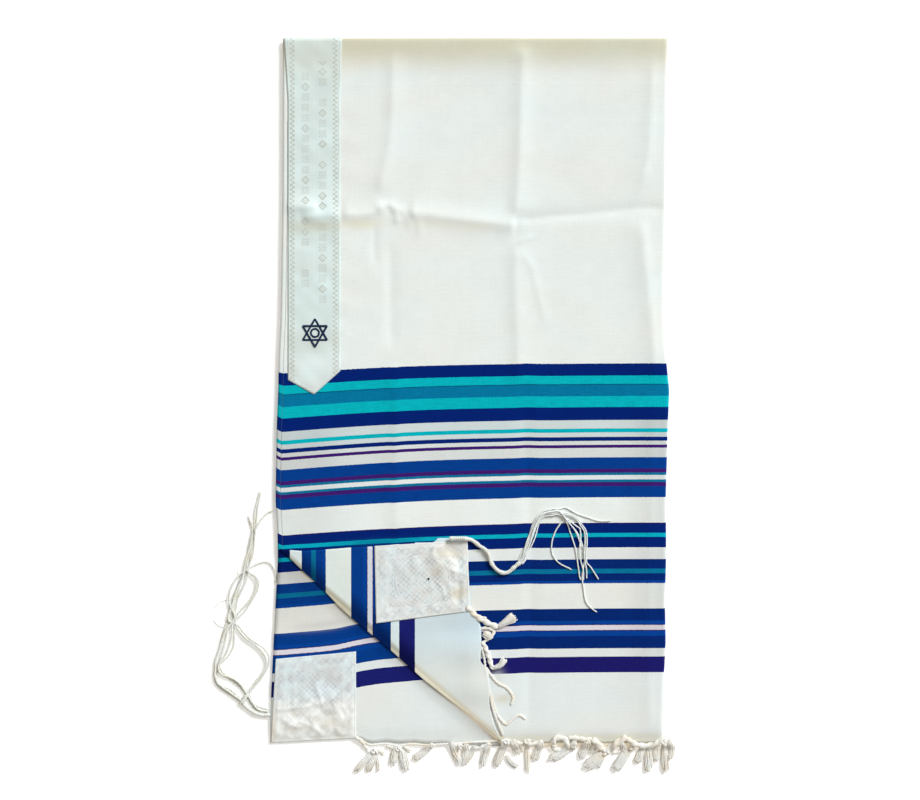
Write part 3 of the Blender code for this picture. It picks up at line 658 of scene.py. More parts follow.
def addTube(parts, points, radius, sides=8, plies=0, depth=0.0, pitch=0.01, phase=0.0, flatten=1.0):
    # a tube along a path; its plies are grooves that wind round it
    points = np.asarray(points, float)
    radius = np.broadcast_to(np.asarray(radius, float), (len(points),))
    way = wayOf(points)
    side = np.cross(way, (0.0, 0.0, 1.0))
    side = side / np.maximum(np.linalg.norm(side, axis=1, keepdims=True), 1e-9)
    up = np.cross(side, way)
    walked = walkAlong(points)
    angle = np.linspace(0, 2 * math.pi, sides, endpoint=False)[None, :] + phase
    twisted = plies * angle - 2 * math.pi * walked[:, None] / pitch
    size = radius[:, None] * (1 - depth * (0.5 - 0.5 * np.cos(twisted)))
    rings = (points[:, None] + side[:, None] * (np.cos(angle) * size)[..., None]
             + up[:, None] * (np.sin(angle) * size * flatten)[..., None])
    k = np.arange(len(points) * sides).reshape(len(points), sides) + parts["count"]
    after = np.roll(k, -1, axis=1)
    parts["faces"] += np.stack([k[:-1], after[:-1], after[1:], k[1:]], -1).reshape(-1, 4).tolist()
    parts["faces"] += [k[0][::-1].tolist(), k[-1].tolist()]
    parts["verts"].append(rings.reshape(-1, 3))
    around = np.broadcast_to(np.arange(sides) / sides * 2 * math.pi * radius.mean(), k.shape)
    parts["cloth"].append(np.stack([around, np.broadcast_to(walked[:, None], k.shape)], -1).reshape(-1, 2))
    parts["count"] += k.size


def finishParts(name, parts, material):
    verts, cloth = np.vstack(parts["verts"]), np.vstack(parts["cloth"])
    return makeMesh(name, verts, parts["faces"], cloth, material)


def rounded(count, ends):
    # radii that close softly over the first and last few rings
    k = np.arange(count)
    fromEnd = np.minimum(k, count - 1 - k) + 0.35
    return np.sqrt(np.clip(1 - (1 - np.clip(fromEnd / ends, 0, 1)) ** 2, 0.05, 1))


def makeWeave():
    # plain weave: threads across and along that pass over each other in turn, no two quite alike
    inputs = {"Across": 0.0, "Along": 0.0, "Pitch": 0.0007}
    group, given, give = newGroup("weave", inputs, ["Height", "Shade"])
    threads, profiles, shades = [], [], []
    for label, seed in (("Across", 3.1), ("Along", 7.7)):
        place = ratio(group, given[label], given["Pitch"])
        threads.append(work(group, "FLOOR", place))
        middle = minus(group, work(group, "FRACT", place), 0.5)
        profiles.append(minus(group, 1.0, times(group, middle, middle, 4.0)))
        shades.append(addChance(group, plus(group, threads[-1], seed)))
    onTop = isNear(group, work(group, "MODULO", plus(group, *threads), 2.0), 0.0, 0.25)
    warp = times(group, profiles[0], onTop)
    weft = times(group, profiles[1], minus(group, 1.0, onTop))
    return give(Height=plus(group, warp, weft), Shade=times(group, plus(group, *shades), 0.5))


def makeFibre():
    # fine hair on wool and yarn: small bumps and slow changes of tone
    group, given, give = newGroup("fibre", {"Place": None, "Size": 0.0008}, ["Height", "Tone"])
    fine = addNoise(group, given["Place"], ratio(group, 1.0, given["Size"]), 3.0, "3D")
    return give(Height=fine, Tone=addNoise(group, given["Place"], 28.0, 2.0, "3D"))


def makeStreaks():
    # thick and thin places in the yarn, drawn out along the threads both ways
    group, given, give = newGroup("streaks", {"Across": 0.0, "Along": 0.0}, ["Tone"])
    tones = []
    for wide, tall in ((70.0, 900.0), (700.0, 50.0)):
        spot = addNode(group, "ShaderNodeCombineXYZ", X=times(group, given["Across"], wide),
                       Y=times(group, given["Along"], tall)).outputs[0]
        tones.append(scaled(group, addNoise(group, spot, 1.0, 1.0), 2.0, -1.0))
    return give(Tone=scaled(group, tones[1], 0.5, tones[0]))


def makeSpot():
    # a soft patch of another tone, for painted shade and painted sheen: 1 in its middle, falling to 0
    inputs = {"Across": 0.0, "Along": 0.0, "X": 0.0, "Y": 0.0, "Wide": 0.01, "Tall": 0.01}
    group, given, give = newGroup("spot", inputs, ["Share"])
    squares = []
    for place, middle, size in (("Across", "X", "Wide"), ("Along", "Y", "Tall")):
        away = ratio(group, minus(group, given[place], given[middle]), given[size])
        squares.append(times(group, away, away))
    return give(Share=work(group, "EXPONENT", times(group, plus(group, *squares), -1.0)))


def makeFoldPlace():
    # how far a place lies out past the turned corner's fold, in metres
    group, given, give = newGroup("foldPlace", {"Place": None}, ["Away"])
    spot = addNode(group, "ShaderNodeSeparateXYZ", at0=given["Place"]).outputs
    terms = [times(group, minus(group, spot[k], float(start[k])), float(foldOut[k])) for k in range(2)]
    return give(Away=plus(group, *terms))


weave, fibre, streaks = makeWeave(), makeFibre(), makeStreaks()
spotGroup, foldPlace = makeSpot(), makeFoldPlace()


def addSpots(tree, colour, across, along, shadeAndSheenSpots):
    # each spot of painted shade and sheen: its place, its size both ways, its colour and its share
    for x, y, wide, tall, dye, share in shadeAndSheenSpots:
        inSpot = useGroup(tree, spotGroup, Across=across, Along=along, X=x, Y=y, Wide=wide, Tall=tall)
        colour = mixColour(tree, times(tree, inSpot["Share"], share), colour, linear(*dye))
    return colour


dyes = {
    "white": (236, 240, 238), "soft white": (228, 232, 232), "pinkish white": (222, 216, 226),
    "warm white": (233, 234, 230), "low white": (231, 235, 234), "pale white": (208, 217, 218),
    "dim white": (217, 221, 220), "sea blue": (5, 170, 192), "turquoise": (2, 177, 189),
    "teal": (6, 112, 152), "teal blue": (1, 116, 158), "dark teal": (2, 88, 120), "navy": (1, 33, 111),
    "blue": (2, 38, 110), "royal blue": (2, 60, 140), "bright blue": (4, 62, 146),
    "indigo": (28, 25, 102), "purple": (62, 26, 108), "dark purple": (46, 22, 92),
}
# The yarns whose tone differs on the back.
backDyes = {"blue": (2, 58, 136), "bright blue": (3, 64, 148), "indigo": (25, 29, 106)}
bands = (   # the stripes across the shawl: how far down from the neck each starts, and its yarn
    (0.0, "white"), (0.415, "navy"), (0.4305, "turquoise"), (0.441, "dark teal"), (0.4422, "teal blue"),
    (0.4565, "turquoise"), (0.4707, "navy"), (0.487, "pale white"), (0.498, "turquoise"),
    (0.503, "pale white"), (0.5085, "navy"), (0.5138, "dim white"), (0.5188, "purple"), (0.5226, "dim white"),
    (0.5348, "royal blue"), (0.5494, "purple"), (0.5544, "teal"), (0.5575, "soft white"), (0.5631, "teal"),
    (0.5663, "purple"), (0.5715, "royal blue"), (0.586, "white"), (0.6184, "dark purple"), (0.6196, "navy"),
    (0.6317, "sea blue"), (0.6367, "navy"), (0.65, "soft white"), (0.665, "blue"), (0.6771, "teal"),
    (0.6832, "blue"), (0.692, "bright blue"), (0.6957, "warm white"), (0.728, "blue"),
    (0.7435, "bright blue"), (0.748, "dark purple"), (0.749, "pinkish white"), (0.7553, "dark purple"),
    (0.7563, "bright blue"), (0.763, "blue"), (0.7787, "soft white"), (0.7893, "indigo"),
    (0.8094, "low white"),
)


def makeStripes(name, changed):
    group, given, give = newGroup(name, {"Down": 0.0}, ["Colour", "White"])
    dyed = {yarn: linear(*dye) for yarn, dye in {**dyes, **changed}.items()}
    colour, white = dyed[bands[0][1]], 1.0
    for place, yarn in bands[1:]:
        past = work(group, "GREATER_THAN", given["Down"], place)
        colour = mixColour(group, past, colour, dyed[yarn])
        white = blend(group, past, white, 1.0 if "white" in yarn else 0.0)
    return give(Colour=colour, White=white)


frontStripes, backStripes = makeStripes("stripes", {}), makeStripes("backStripes", backDyes)
driftBetween = (0.28, 0.72)   # the stretch of the noise that a slow drift of tone spans

# A stretch holds where it starts and ends, in metres, and its shares there. A tint multiplies the yarn's
# own colour. A spot of painted shade is its place, its size both ways, its colour and its share.
wool = {
    "thread": 0.0007, "hair": 0.0009, "relief": 0.0001, "uneven": 0.03, "streaks": 0.04,
    "dyed streaks": 0.22, "wander": 0.0006, "shine": 0.06, "roughness": 0.9, "hair tone": 0.08,
    "hair relief": 0.6,
    "drift": (8.0, 15.0, 1.0), "warm drift": (1.0, 0.985, 0.965, 1), "cool drift": (0.98, 1.003, 1.006, 1),
    "stitch line": 0.0062, "stitch half": 0.00045, "stitched": (0.375, 0.275), "stitch share": 0.45,
    "stitch colour": (70, 78, 92),
    # painted shade: a warm beige tint behind the neck fold and along the hem
    "painted edge shade": (232, 222, 196), "by the neck": (0.006, 0.055, 0.82, 0.0),
    "by the hem": (0.884, 0.893, 0.0, 0.5),
    # painted shade where the stripes run into the folded sides
    "painted side shade": (0.82, 0.82, 0.83, 1), "left side": (0.045, 0.115, 0.65, 0.0),
    "right side": (0.43, 0.49, 0.0, 0.75), "sides from": (0.38, 0.46, 0.0, 1.0),
    "sides until": (0.79, 0.82, 1.0, 0.2),
    # spots of painted shade: the flap edge's shadow on a stripe, warm shade under a crease, a shaded hollow
    "shadeAndSheenSpots": (
        (0.13, 0.6345, 0.05, 0.004, (3, 96, 136), 0.6), (0.1, 0.233, 0.026, 0.0065, (235, 233, 213), 0.9),
        (0.185, 0.235, 0.03, 0.006, (240, 240, 229), 0.8), (0.245, 0.24, 0.034, 0.0065, (240, 240, 229), 0.8),
        (0.297, 0.841, 0.013, 0.006, (214, 208, 190), 0.7),
        (0.288, 0.815, 0.008, 0.01, (220, 220, 216), 0.6)),
    # a spot of painted shade along a crease of the layer below
    "shade spots below": ((0.062, 0.7215, 0.04, 0.0055, (214, 213, 211), 0.8),),
    # tints on the turned part's white; below the patch the tint is painted shade
    "turned stripes tint": (0.92, 0.99, 1.0, 1), "back near the patch": (0.8, 0.9, 0.98, 1),
    "back at the hem": (0.94, 0.93, 0.91, 1), "past the patch": (0.13, 0.2, 0.0, 1.0),
    "past the stripes": (0.79, 0.81),
    "below, in shade": (0.7, 0.67, 0.66, 1), "shade by the fold": (0.0, 0.024, 0.85, 0.0),
    "shade in the nook": (0.645, 0.76, 0.75, 0.0), "shade on dyes": 0.75,
    # painted shade on the turned part, towards the fold
    "painted shade on dyes by the fold": (0.22, 0.24, 0.3, 1), "dyed shade": (-0.026, -0.001, 0.0, 0.9),
    "painted shade on white by the fold": (0.55, 0.52, 0.49, 1), "white shade": (-0.007, -0.001, 0.0, 0.7),
    # painted warm shade along the turned fold
    "fold glow": (0.88, 0.78, 0.6, 1), "glow below": (0.002, 0.012, 0.35, 0.0),
    "glow on fold": (-0.007, 0.0, 0.0, 0.8), "glow ends": (0.004, 0.006, 1.0, 0.0),
    "glow from": (0.6, 0.66, 0.0, 1.0),
    # painted light: an emission that lifts the shadow along the fold
    "painted fold light colour": (1.0, 0.84, 0.62, 1), "painted fold light below": (0.002, 0.0065, 0.38, 0.0),
    "painted fold light on the fold": (0.0006, 0.0016, 0.0, 0.152), "painted fold light from": (0.64, 0.7, 0.0, 1.0),
}


def toneFront(tree, colour, white, across, down):
    # the sewn edge, painted shade behind the neck fold, along the hem and by the sides, and a few spots of
    # painted shade
    line = isNear(tree, across, wool["stitch line"], wool["stitch half"])
    stitched = isNear(tree, down, *wool["stitched"])
    share = times(tree, line, stitched, wool["stitch share"])
    colour = mixColour(tree, share, colour, linear(*wool["stitch colour"]))
    # painted shade behind the neck fold and along the hem
    for stretch in ("by the neck", "by the hem"):
        colour = tinted(tree, ramp(tree, down, *wool[stretch]), colour, linear(*wool["painted edge shade"]))
    # painted shade on the white where the stripes run into the folded sides
    sides = plus(tree, *(ramp(tree, across, *wool[side]) for side in ("left side", "right side")))
    sides = times(tree, sides, *(ramp(tree, down, *wool[end]) for end in ("sides from", "sides until")))
    colour = tinted(tree, times(tree, sides, white), colour, wool["painted side shade"])
    # spots of painted shade by the creases, a hollow and the flap's edge
    return addSpots(tree, colour, across, down, wool["shadeAndSheenSpots"])


def toneBack(tree, colour, white, across, down, away):
    # the back shows where the corner is turned: its white is tinted, with painted shade below the patch, and
    # painted shade darkens it towards the fold
    share = ramp(tree, across, *wool["past the patch"])
    tint = mixColour(tree, share, wool["back near the patch"], wool["back at the hem"])
    share = ramp(tree, down, *wool["past the stripes"], 0.0, 1.0)
    tint = mixColour(tree, share, wool["turned stripes tint"], tint)
    colour = tinted(tree, white, colour, tint)
    share = times(tree, ramp(tree, away, *wool["dyed shade"]), minus(tree, 1.0, white))
    colour = tinted(tree, share, colour, wool["painted shade on dyes by the fold"])
    share = times(tree, ramp(tree, away, *wool["white shade"]), white)
    share = times(tree, share, ramp(tree, down, *wool["past the stripes"], 1.0, 0.0))
    return tinted(tree, share, colour, wool["painted shade on white by the fold"])


def toneBelow(tree, colour, white, across, down, away):
    # the layer below lies in the turned corner's shade
    # a spot of painted shade along a crease
    colour = addSpots(tree, colour, across, down, wool["shade spots below"])
    lit = [minus(tree, 1.0, ramp(tree, place, *wool[shade]))
           for place, shade in ((away, "shade by the fold"), (down, "shade in the nook"))]
    share = minus(tree, 1.0, times(tree, *lit))
    share = times(tree, share, scaled(tree, white, 1 - wool["shade on dyes"], wool["shade on dyes"]))
    return tinted(tree, share, colour, wool["below, in shade"])


def makeWool(name, side):
    # side: the front with its sewn edge, the back that shows where a corner is turned, or the layer below
    material, tree, shader = newMaterial(name, {
        "Roughness": wool["roughness"], "Specular IOR Level": wool["shine"],
        "Emission Color": wool["painted fold light colour"]})
    place, across, down = placeOnCloth(tree)
    threads = useGroup(tree, weave, Across=across, Along=down, Pitch=wool["thread"])
    hair = useGroup(tree, fibre, Place=place, Size=wool["hair"])
    drawn = useGroup(tree, streaks, Across=across, Along=down)["Tone"]
    wander = scaled(tree, minus(tree, threads["Shade"], 0.5), wool["wander"], down)
    striped = useGroup(tree, frontStripes if side == "front" else backStripes, Down=wander)
    white = striped["White"]
    tone = times(tree, scaled(tree, threads["Shade"], wool["uneven"], 1 - wool["uneven"] / 2),
                 scaled(tree, drawn, blend(tree, white, wool["dyed streaks"], wool["streaks"]), 1.0),
                 scaled(tree, hair["Tone"], wool["hair tone"], 1 - wool["hair tone"] / 2))
    colour = tinted(tree, 1.0, striped["Colour"], grey(tree, tone))
    stretched = addNode(tree, "ShaderNodeVectorMath", {"operation": "MULTIPLY"}, at0=place, at1=wool["drift"])
    drift = ramp(tree, addNoise(tree, stretched.outputs[0], 1.0, 1.0), *driftBetween, 0.0, 1.0)
    colour = tinted(tree, white, colour, mixColour(tree, drift, wool["warm drift"], wool["cool drift"]))
    spot = addNode(tree, "ShaderNodeTexCoord").outputs["Object"]
    away = useGroup(tree, foldPlace, Place=spot)["Away"]
    if side == "front":
        colour = toneFront(tree, colour, white, across, down)
    elif side == "back":
        colour = toneBack(tree, colour, white, across, down, away)
    else:
        colour = toneBelow(tree, colour, white, across, down, away)
    # painted light and shade along the turned fold: a warm painted shade on the white wool, and an emission
    # of painted light that lifts the fold's shadow
    if side == "below":
        glow = times(tree, ramp(tree, away, *wool["glow below"]), white)
        paintedFoldLight = ramp(tree, away, *wool["painted fold light below"])
    else:
        until = ramp(tree, away, *wool["glow ends"])
        glow = times(tree, ramp(tree, away, *wool["glow on fold"]), white, until)
        glow = times(tree, glow, ramp(tree, down, *wool["glow from"]))
        paintedFoldLight = times(tree, ramp(tree, away, *wool["painted fold light on the fold"]), until)
    tree.links.new(tinted(tree, glow, colour, wool["fold glow"]), shader.inputs["Base Color"])
    paintedFoldLight = times(tree, paintedFoldLight, white, ramp(tree, down, *wool["painted fold light from"]))
    tree.links.new(paintedFoldLight, shader.inputs["Emission Strength"])
    height = scaled(tree, hair["Height"], wool["hair relief"], threads["Height"])
    addBump(tree, shader, height, wool["relief"], 0.5)
    return material


frontWool = makeWool("stripedWool", "front")
backWool = makeWool("stripedWoolBack", "back")
underWool = makeWool("stripedWoolBelow", "below")

yarnSet = {"roughness": 0.82, "sheen": 0.15, "soft": 0.25, "soft colour": (1.0, 0.95, 0.88),
           "soft depth": 0.002, "hair": 0.0005, "slow": 60.0, "pale": 0.35, "deep": 0.7, "relief": 0.0003}


def makeYarn(name, pale, deep):
    material, tree, shader = newMaterial(name, {
        "Roughness": yarnSet["roughness"], "Sheen Weight": yarnSet["sheen"],
        "Subsurface Weight": yarnSet["soft"], "Subsurface Radius": yarnSet["soft colour"],
        "Subsurface Scale": yarnSet["soft depth"]})
    hair = useGroup(tree, fibre, Place=placeOnCloth(tree)[0], Size=yarnSet["hair"])
    spot = addNode(tree, "ShaderNodeTexCoord").outputs["Object"]
    slow = addNoise(tree, spot, yarnSet["slow"], 2.0, "3D")
    share = ramp(tree, slow, yarnSet["pale"], yarnSet["deep"], 0.0, 1.0, "LINEAR")
    tree.links.new(mixColour(tree, share, linear(*pale), linear(*deep)), shader.inputs["Base Color"])
    addBump(tree, shader, hair["Height"], yarnSet["relief"], 0.6)
    return material


yarn = makeYarn("yarn", (239, 239, 235), (235, 225, 209))
tasselYarn = makeYarn("tasselYarn", (228, 230, 225), (224, 220, 208))
clearYarn = makeYarn("clearYarn", (236, 240, 238), (228, 231, 227))

satin = {"thread": 0.0005, "shine": 0.5, "roughness": 0.42, "line roughness": 0.62, "uneven": 0.06,
         "relief": 0.00016, "thread relief": 0.25, "lit": (243, 245, 243), "lit, warm": (230, 228, 221),
         "lit edge": 0.012, "figure lost where lit": 0.55, "fades between": (0.35, 0.65)}
bandFinish = {
    "light": (224, 240, 239), "warm": (214, 227, 225), "line": (194, 198, 188), "strength": 0.95,
    "fades": 60.0, "faint": 0.7, "drift": 0.034, "bright": (0.0, -1.0),
    # painted highlights on the band's satin, and painted shade at its crease
    "shadeAndSheenSpots": (
        (0.037, 0.024, 0.06, 0.03, (211, 215, 205), 0.7), (0.037, 0.092, 0.06, 0.022, (214, 223, 219), 0.5),
        (0.03, 0.15, 0.06, 0.014, (213, 223, 220), 0.5), (0.028, 0.203, 0.06, 0.015, (236, 248, 247), 0.6),
        (0.044, 0.24, 0.052, 0.009, (206, 208, 193), 0.85), (0.02, 0.266, 0.034, 0.008, (234, 246, 245), 0.5),
        (0.03, 0.291, 0.06, 0.01, (215, 221, 216), 0.5), (0.02, 0.345, 0.04, 0.025, (213, 226, 223), 0.5),
        (0.037, 0.386, 0.06, 0.017, (211, 217, 210), 0.6), (0.045, 0.414, 0.04, 0.012, (236, 244, 244), 0.5),
        (0.038, 0.447, 0.03, 0.012, (222, 225, 222), 0.7), (0.008, 0.425, 0.014, 0.016, (216, 220, 215), 0.7),
        (0.066, 0.432, 0.012, 0.012, (222, 224, 221), 0.6)),
}
latticeSet = {"border": 0.0175, "zigzag": 0.019, "rise": 0.008, "line": 0.0007, "lattice": 0.0066,
              "lattice line": 0.0008, "ring": 0.034, "ring line": 0.0007, "ring gap": 0.0024,
              "zigzags": ((0.003, 1.0), (0.0056, 1.0), (0.013, -1.0))}   # how far in, and which way up
markSet = {"middle": 0.0385, "apart": 0.0109, "cell": 0.0132, "offset": 0.0031, "line": 0.0013,
           "lozenge": 0.0044, "dot": 0.0014, "chevron": 0.0017, "chevron reach": 0.005,
           "with chevrons": 0.55, "bare": 0.16, "from": 0.03, "until": 0.345, "rows": (0.0108, 0.0655),
           "square": 0.003}


def makeMottle():
    # pearly satin: slow drifts between a cool and a warm white
    group, given, give = newGroup("mottle", {"Place": None, "Size": 0.02}, ["Drift"])
    noise = addNoise(group, given["Place"], ratio(group, 1.0, given["Size"]), 1.0)
    return give(Drift=ramp(group, noise, *driftBetween, 0.0, 1.0, "LINEAR"))


def makeLattice():
    # the patch's woven figure: a zigzag border round small lozenges, with a ring in the middle
    inputs = {"Across": 0.0, "Up": 0.0, "Width": 0.1, "Height": 0.1}
    group, given, give = newGroup("lattice", inputs, ["Mask"])
    centred, fromEdge = [], []
    for place, size in (("Across", "Width"), ("Up", "Height")):
        half = times(group, given[size], 0.5)
        centred.append(minus(group, given[place], half))
        fromEdge.append(minus(group, half, work(group, "ABSOLUTE", centred[-1])))
    x, y = centred
    inward = smallest(group, *fromEdge)
    run = blend(group, work(group, "LESS_THAN", *fromEdge), x, y)
    wave = work(group, "PINGPONG", run, latticeSet["zigzag"] / 2)
    wave = times(group, wave, 2 * latticeSet["rise"] / latticeSet["zigzag"])
    lines = [isNear(group, inward, scaled(group, wave, flip, shift), latticeSet["line"])
             for shift, flip in latticeSet["zigzags"]]
    inBorder = work(group, "LESS_THAN", inward, latticeSet["border"])
    border = times(group, largest(group, *lines), inBorder)
    crossed = []
    for sign in (1.0, -1.0):
        slant = work(group, "PINGPONG", scaled(group, y, sign, x), latticeSet["lattice"] / 2)
        crossed.append(work(group, "LESS_THAN", slant, latticeSet["lattice line"]))
    away = work(group, "SQRT", plus(group, times(group, x, x), times(group, y, y)))
    gap, ring = (isNear(group, away, latticeSet["ring"], latticeSet[reach])
                 for reach in ("ring gap", "ring line"))
    inner = times(group, largest(group, *crossed), minus(group, 1.0, inBorder), minus(group, 1.0, gap))
    return give(Mask=largest(group, border, inner, ring))


def makeMarks():
    # the band's woven figure: two columns of lozenges and bars between two rows of small squares
    group, given, give = newGroup("marks", {"Across": 0.0, "Along": 0.0}, ["Mask", "Squares"])
    fromMiddle = minus(group, given["Across"], markSet["middle"])
    side = work(group, "SIGN", fromMiddle)
    u = minus(group, work(group, "ABSOLUTE", fromMiddle), markSet["apart"])
    u = work(group, "ABSOLUTE", u)
    cells = ratio(group, scaled(group, side, markSet["offset"], given["Along"]), markSet["cell"])
    v = times(group, minus(group, work(group, "FRACT", cells), 0.5), markSet["cell"])
    v = work(group, "ABSOLUTE", v)
    chance = addChance(group, scaled(group, side, 37.4, work(group, "FLOOR", cells)))
    slant = plus(group, u, v)
    lozenge = isNear(group, slant, markSet["lozenge"], markSet["line"])
    lozenge = largest(group, lozenge, work(group, "LESS_THAN", slant, markSet["dot"]))
    folded = work(group, "PINGPONG", plus(group, slant, 0.001), markSet["chevron"])
    chevrons = isNear(group, folded, markSet["chevron"], markSet["line"] / 2)
    inReach = work(group, "LESS_THAN", largest(group, u, v), markSet["chevron reach"])
    hasChevrons = work(group, "GREATER_THAN", chance, markSet["with chevrons"])
    shape = blend(group, hasChevrons, lozenge, times(group, chevrons, inReach))
    shape = times(group, shape, work(group, "GREATER_THAN", chance, markSet["bare"]),
                  work(group, "LESS_THAN", given["Along"], markSet["until"]),
                  work(group, "GREATER_THAN", given["Along"], markSet["from"]))
    rows, size = [], markSet["square"]
    for row in markSet["rows"]:
        column = work(group, "FLOOR", ratio(group, minus(group, given["Across"], row), size))
        order = plus(group, column, work(group, "FLOOR", ratio(group, given["Along"], size)))
        isOdd = work(group, "GREATER_THAN", work(group, "FLOORED_MODULO", order, 2.0), 0.5)
        rows.append(times(group, isNear(group, given["Across"], row, size), isOdd))
    return give(Mask=shape, Squares=largest(group, *rows))


mottle, lattice, marks = makeMottle(), makeLattice(), makeMarks()


def makeSatin(name, figure, finish):
    # figure: what makes the woven figure's mask from the places across and along
    material, tree, shader = newMaterial(name, {"Specular IOR Level": satin["shine"]})
    place, across, along = placeOnCloth(tree)
    mask = figure(tree, across, along)
    drift = useGroup(tree, mottle, Place=place, Size=finish["drift"])["Drift"]
    threads = useGroup(tree, weave, Across=across, Along=along, Pitch=satin["thread"])
    base = mixColour(tree, drift, linear(*finish["light"]), linear(*finish["warm"]))
    # below a line the satin lies so that it catches the lamp, and its figure shows less
    bright = ramp(tree, scaled(tree, drift, satin["lit edge"], along), *finish["bright"], 0.0, 1.0)
    lit = mixColour(tree, drift, linear(*satin["lit"]), linear(*satin["lit, warm"]))
    # spots of painted shade and painted highlight on the satin
    base = addSpots(tree, mixColour(tree, bright, base, lit), across, along, finish["shadeAndSheenSpots"])
    turning = addNoise(tree, place, finish["fades"], 2.0)
    turning = ramp(tree, turning, *satin["fades between"], finish["faint"], 1.0)
    shown = scaled(tree, bright, -satin["figure lost where lit"], 1.0)
    share = times(tree, mask, finish["strength"], shown, turning)
    colour = mixColour(tree, share, base, linear(*finish["line"]))
    tone = scaled(tree, threads["Shade"], satin["uneven"], 1 - satin["uneven"] / 2)
    tree.links.new(tinted(tree, 1.0, colour, grey(tree, tone)), shader.inputs["Base Color"])
    rough = scaled(tree, mask, satin["line roughness"] - satin["roughness"], satin["roughness"])
    tree.links.new(rough, shader.inputs["Roughness"])
    height = scaled(tree, threads["Height"], satin["thread relief"], mask)
    addBump(tree, shader, height, satin["relief"], 0.6)
    return material


def bandFigure(tree, across, along):
    figure = useGroup(tree, marks, Across=across, Along=along)
    return largest(tree, figure["Mask"], figure["Squares"])


def patchFigure(size):
    def figure(tree, across, along):
        return useGroup(tree, lattice, Across=across, Up=along, Width=size[0], Height=size[1])["Mask"]
    return figure


def makePlain(name, dye, roughness, shine):
    # dyed thread for stitches and the sewn motif, and the painted shade that fills the eyelet's hole
    material, tree, shader = newMaterial(name, {"Roughness": roughness, "Specular IOR Level": shine})
    hair = useGroup(tree, fibre, Place=placeOnCloth(tree)[0], Size=yarnSet["hair"])
    tone = grey(tree, scaled(tree, hair["Height"], 0.4, 0.8))
    tree.links.new(tinted(tree, 1.0, linear(*dye), tone), shader.inputs["Base Color"])
    addBump(tree, shader, hair["Height"], 0.0001, 0.4)
    return material


bandSatin = makeSatin("bandSatin", bandFigure, bandFinish)
navyThread = makePlain("navyThread", (8, 40, 78), 0.55, 0.3)
whiteThread = makePlain("whiteThread", (232, 236, 232), 0.6, 0.3)
# painted shade: a dark disc stands for the shaded inside of the eyelet's hole
paintedHoleShade = makePlain("paintedHoleShade", (60, 58, 54), 0.9, 0.0)
print("finishes made")

tasselSet = {
    "left thick": 0.0031, "right thick": 0.0019, "wound": 0.006, "twist": 0.0065, "ring every": 0.0011,
    "wander": ((0.0009, 0.031), (0.0005, 0.0125)), "loose over": 0.03, "stacked": 0.82,
    "stops": {"rightThreadFanB": 0.62}, "left seed": 40, "right seed": 60,
    "left winding": ((-0.2533, -0.3912), (-0.2636, -0.392), (-0.2738, -0.3889), (-0.2815, -0.384),
                     (-0.2892, -0.3772)),
    "right winding": (
        (-0.0255, -0.1655), (-0.0115, -0.165), (0.0005, -0.1665), (0.007, -0.17), (0.014, -0.1755),
        (0.021, -0.18), (0.0255, -0.187), (0.028, -0.1955), (0.0325, -0.2025), (0.0385, -0.2075),
        (0.0445, -0.2095), (0.051, -0.208), (0.0585, -0.2015), (0.0655, -0.196)),
    "left exit": None, "right exit": (0.0657, -0.196, 0.011),   # None: where each thread's route starts
    "frays": (
        ((-0.3089, -0.2444), (-0.3153, -0.2463), (-0.3198, -0.2489), (-0.3255, -0.2546)),
        ((-0.3064, -0.2789), (-0.3153, -0.2795), (-0.3211, -0.277), (-0.3268, -0.2706)),
        ((-0.2917, -0.2189), (-0.2945, -0.2138), (-0.2958, -0.2068)),
        ((-0.2796, -0.1538), (-0.2811, -0.1461), (-0.2821, -0.1359))),
    "fray thick": 0.0011, "fray high": 0.001, "clear": 0.0002, "leaves at": 0.003, "settles": 0.01,
    "flap until": 0.004, "flap over": 0.008, "flap higher": 0.0016,
    "wrap": {"from": (-0.2844, -0.3657), "to": (-0.2904, -0.3765), "across": (0.0036, 0.002),
             "middle": 0.0034, "high": 0.003, "thick": 0.0026, "turns": 4},
}
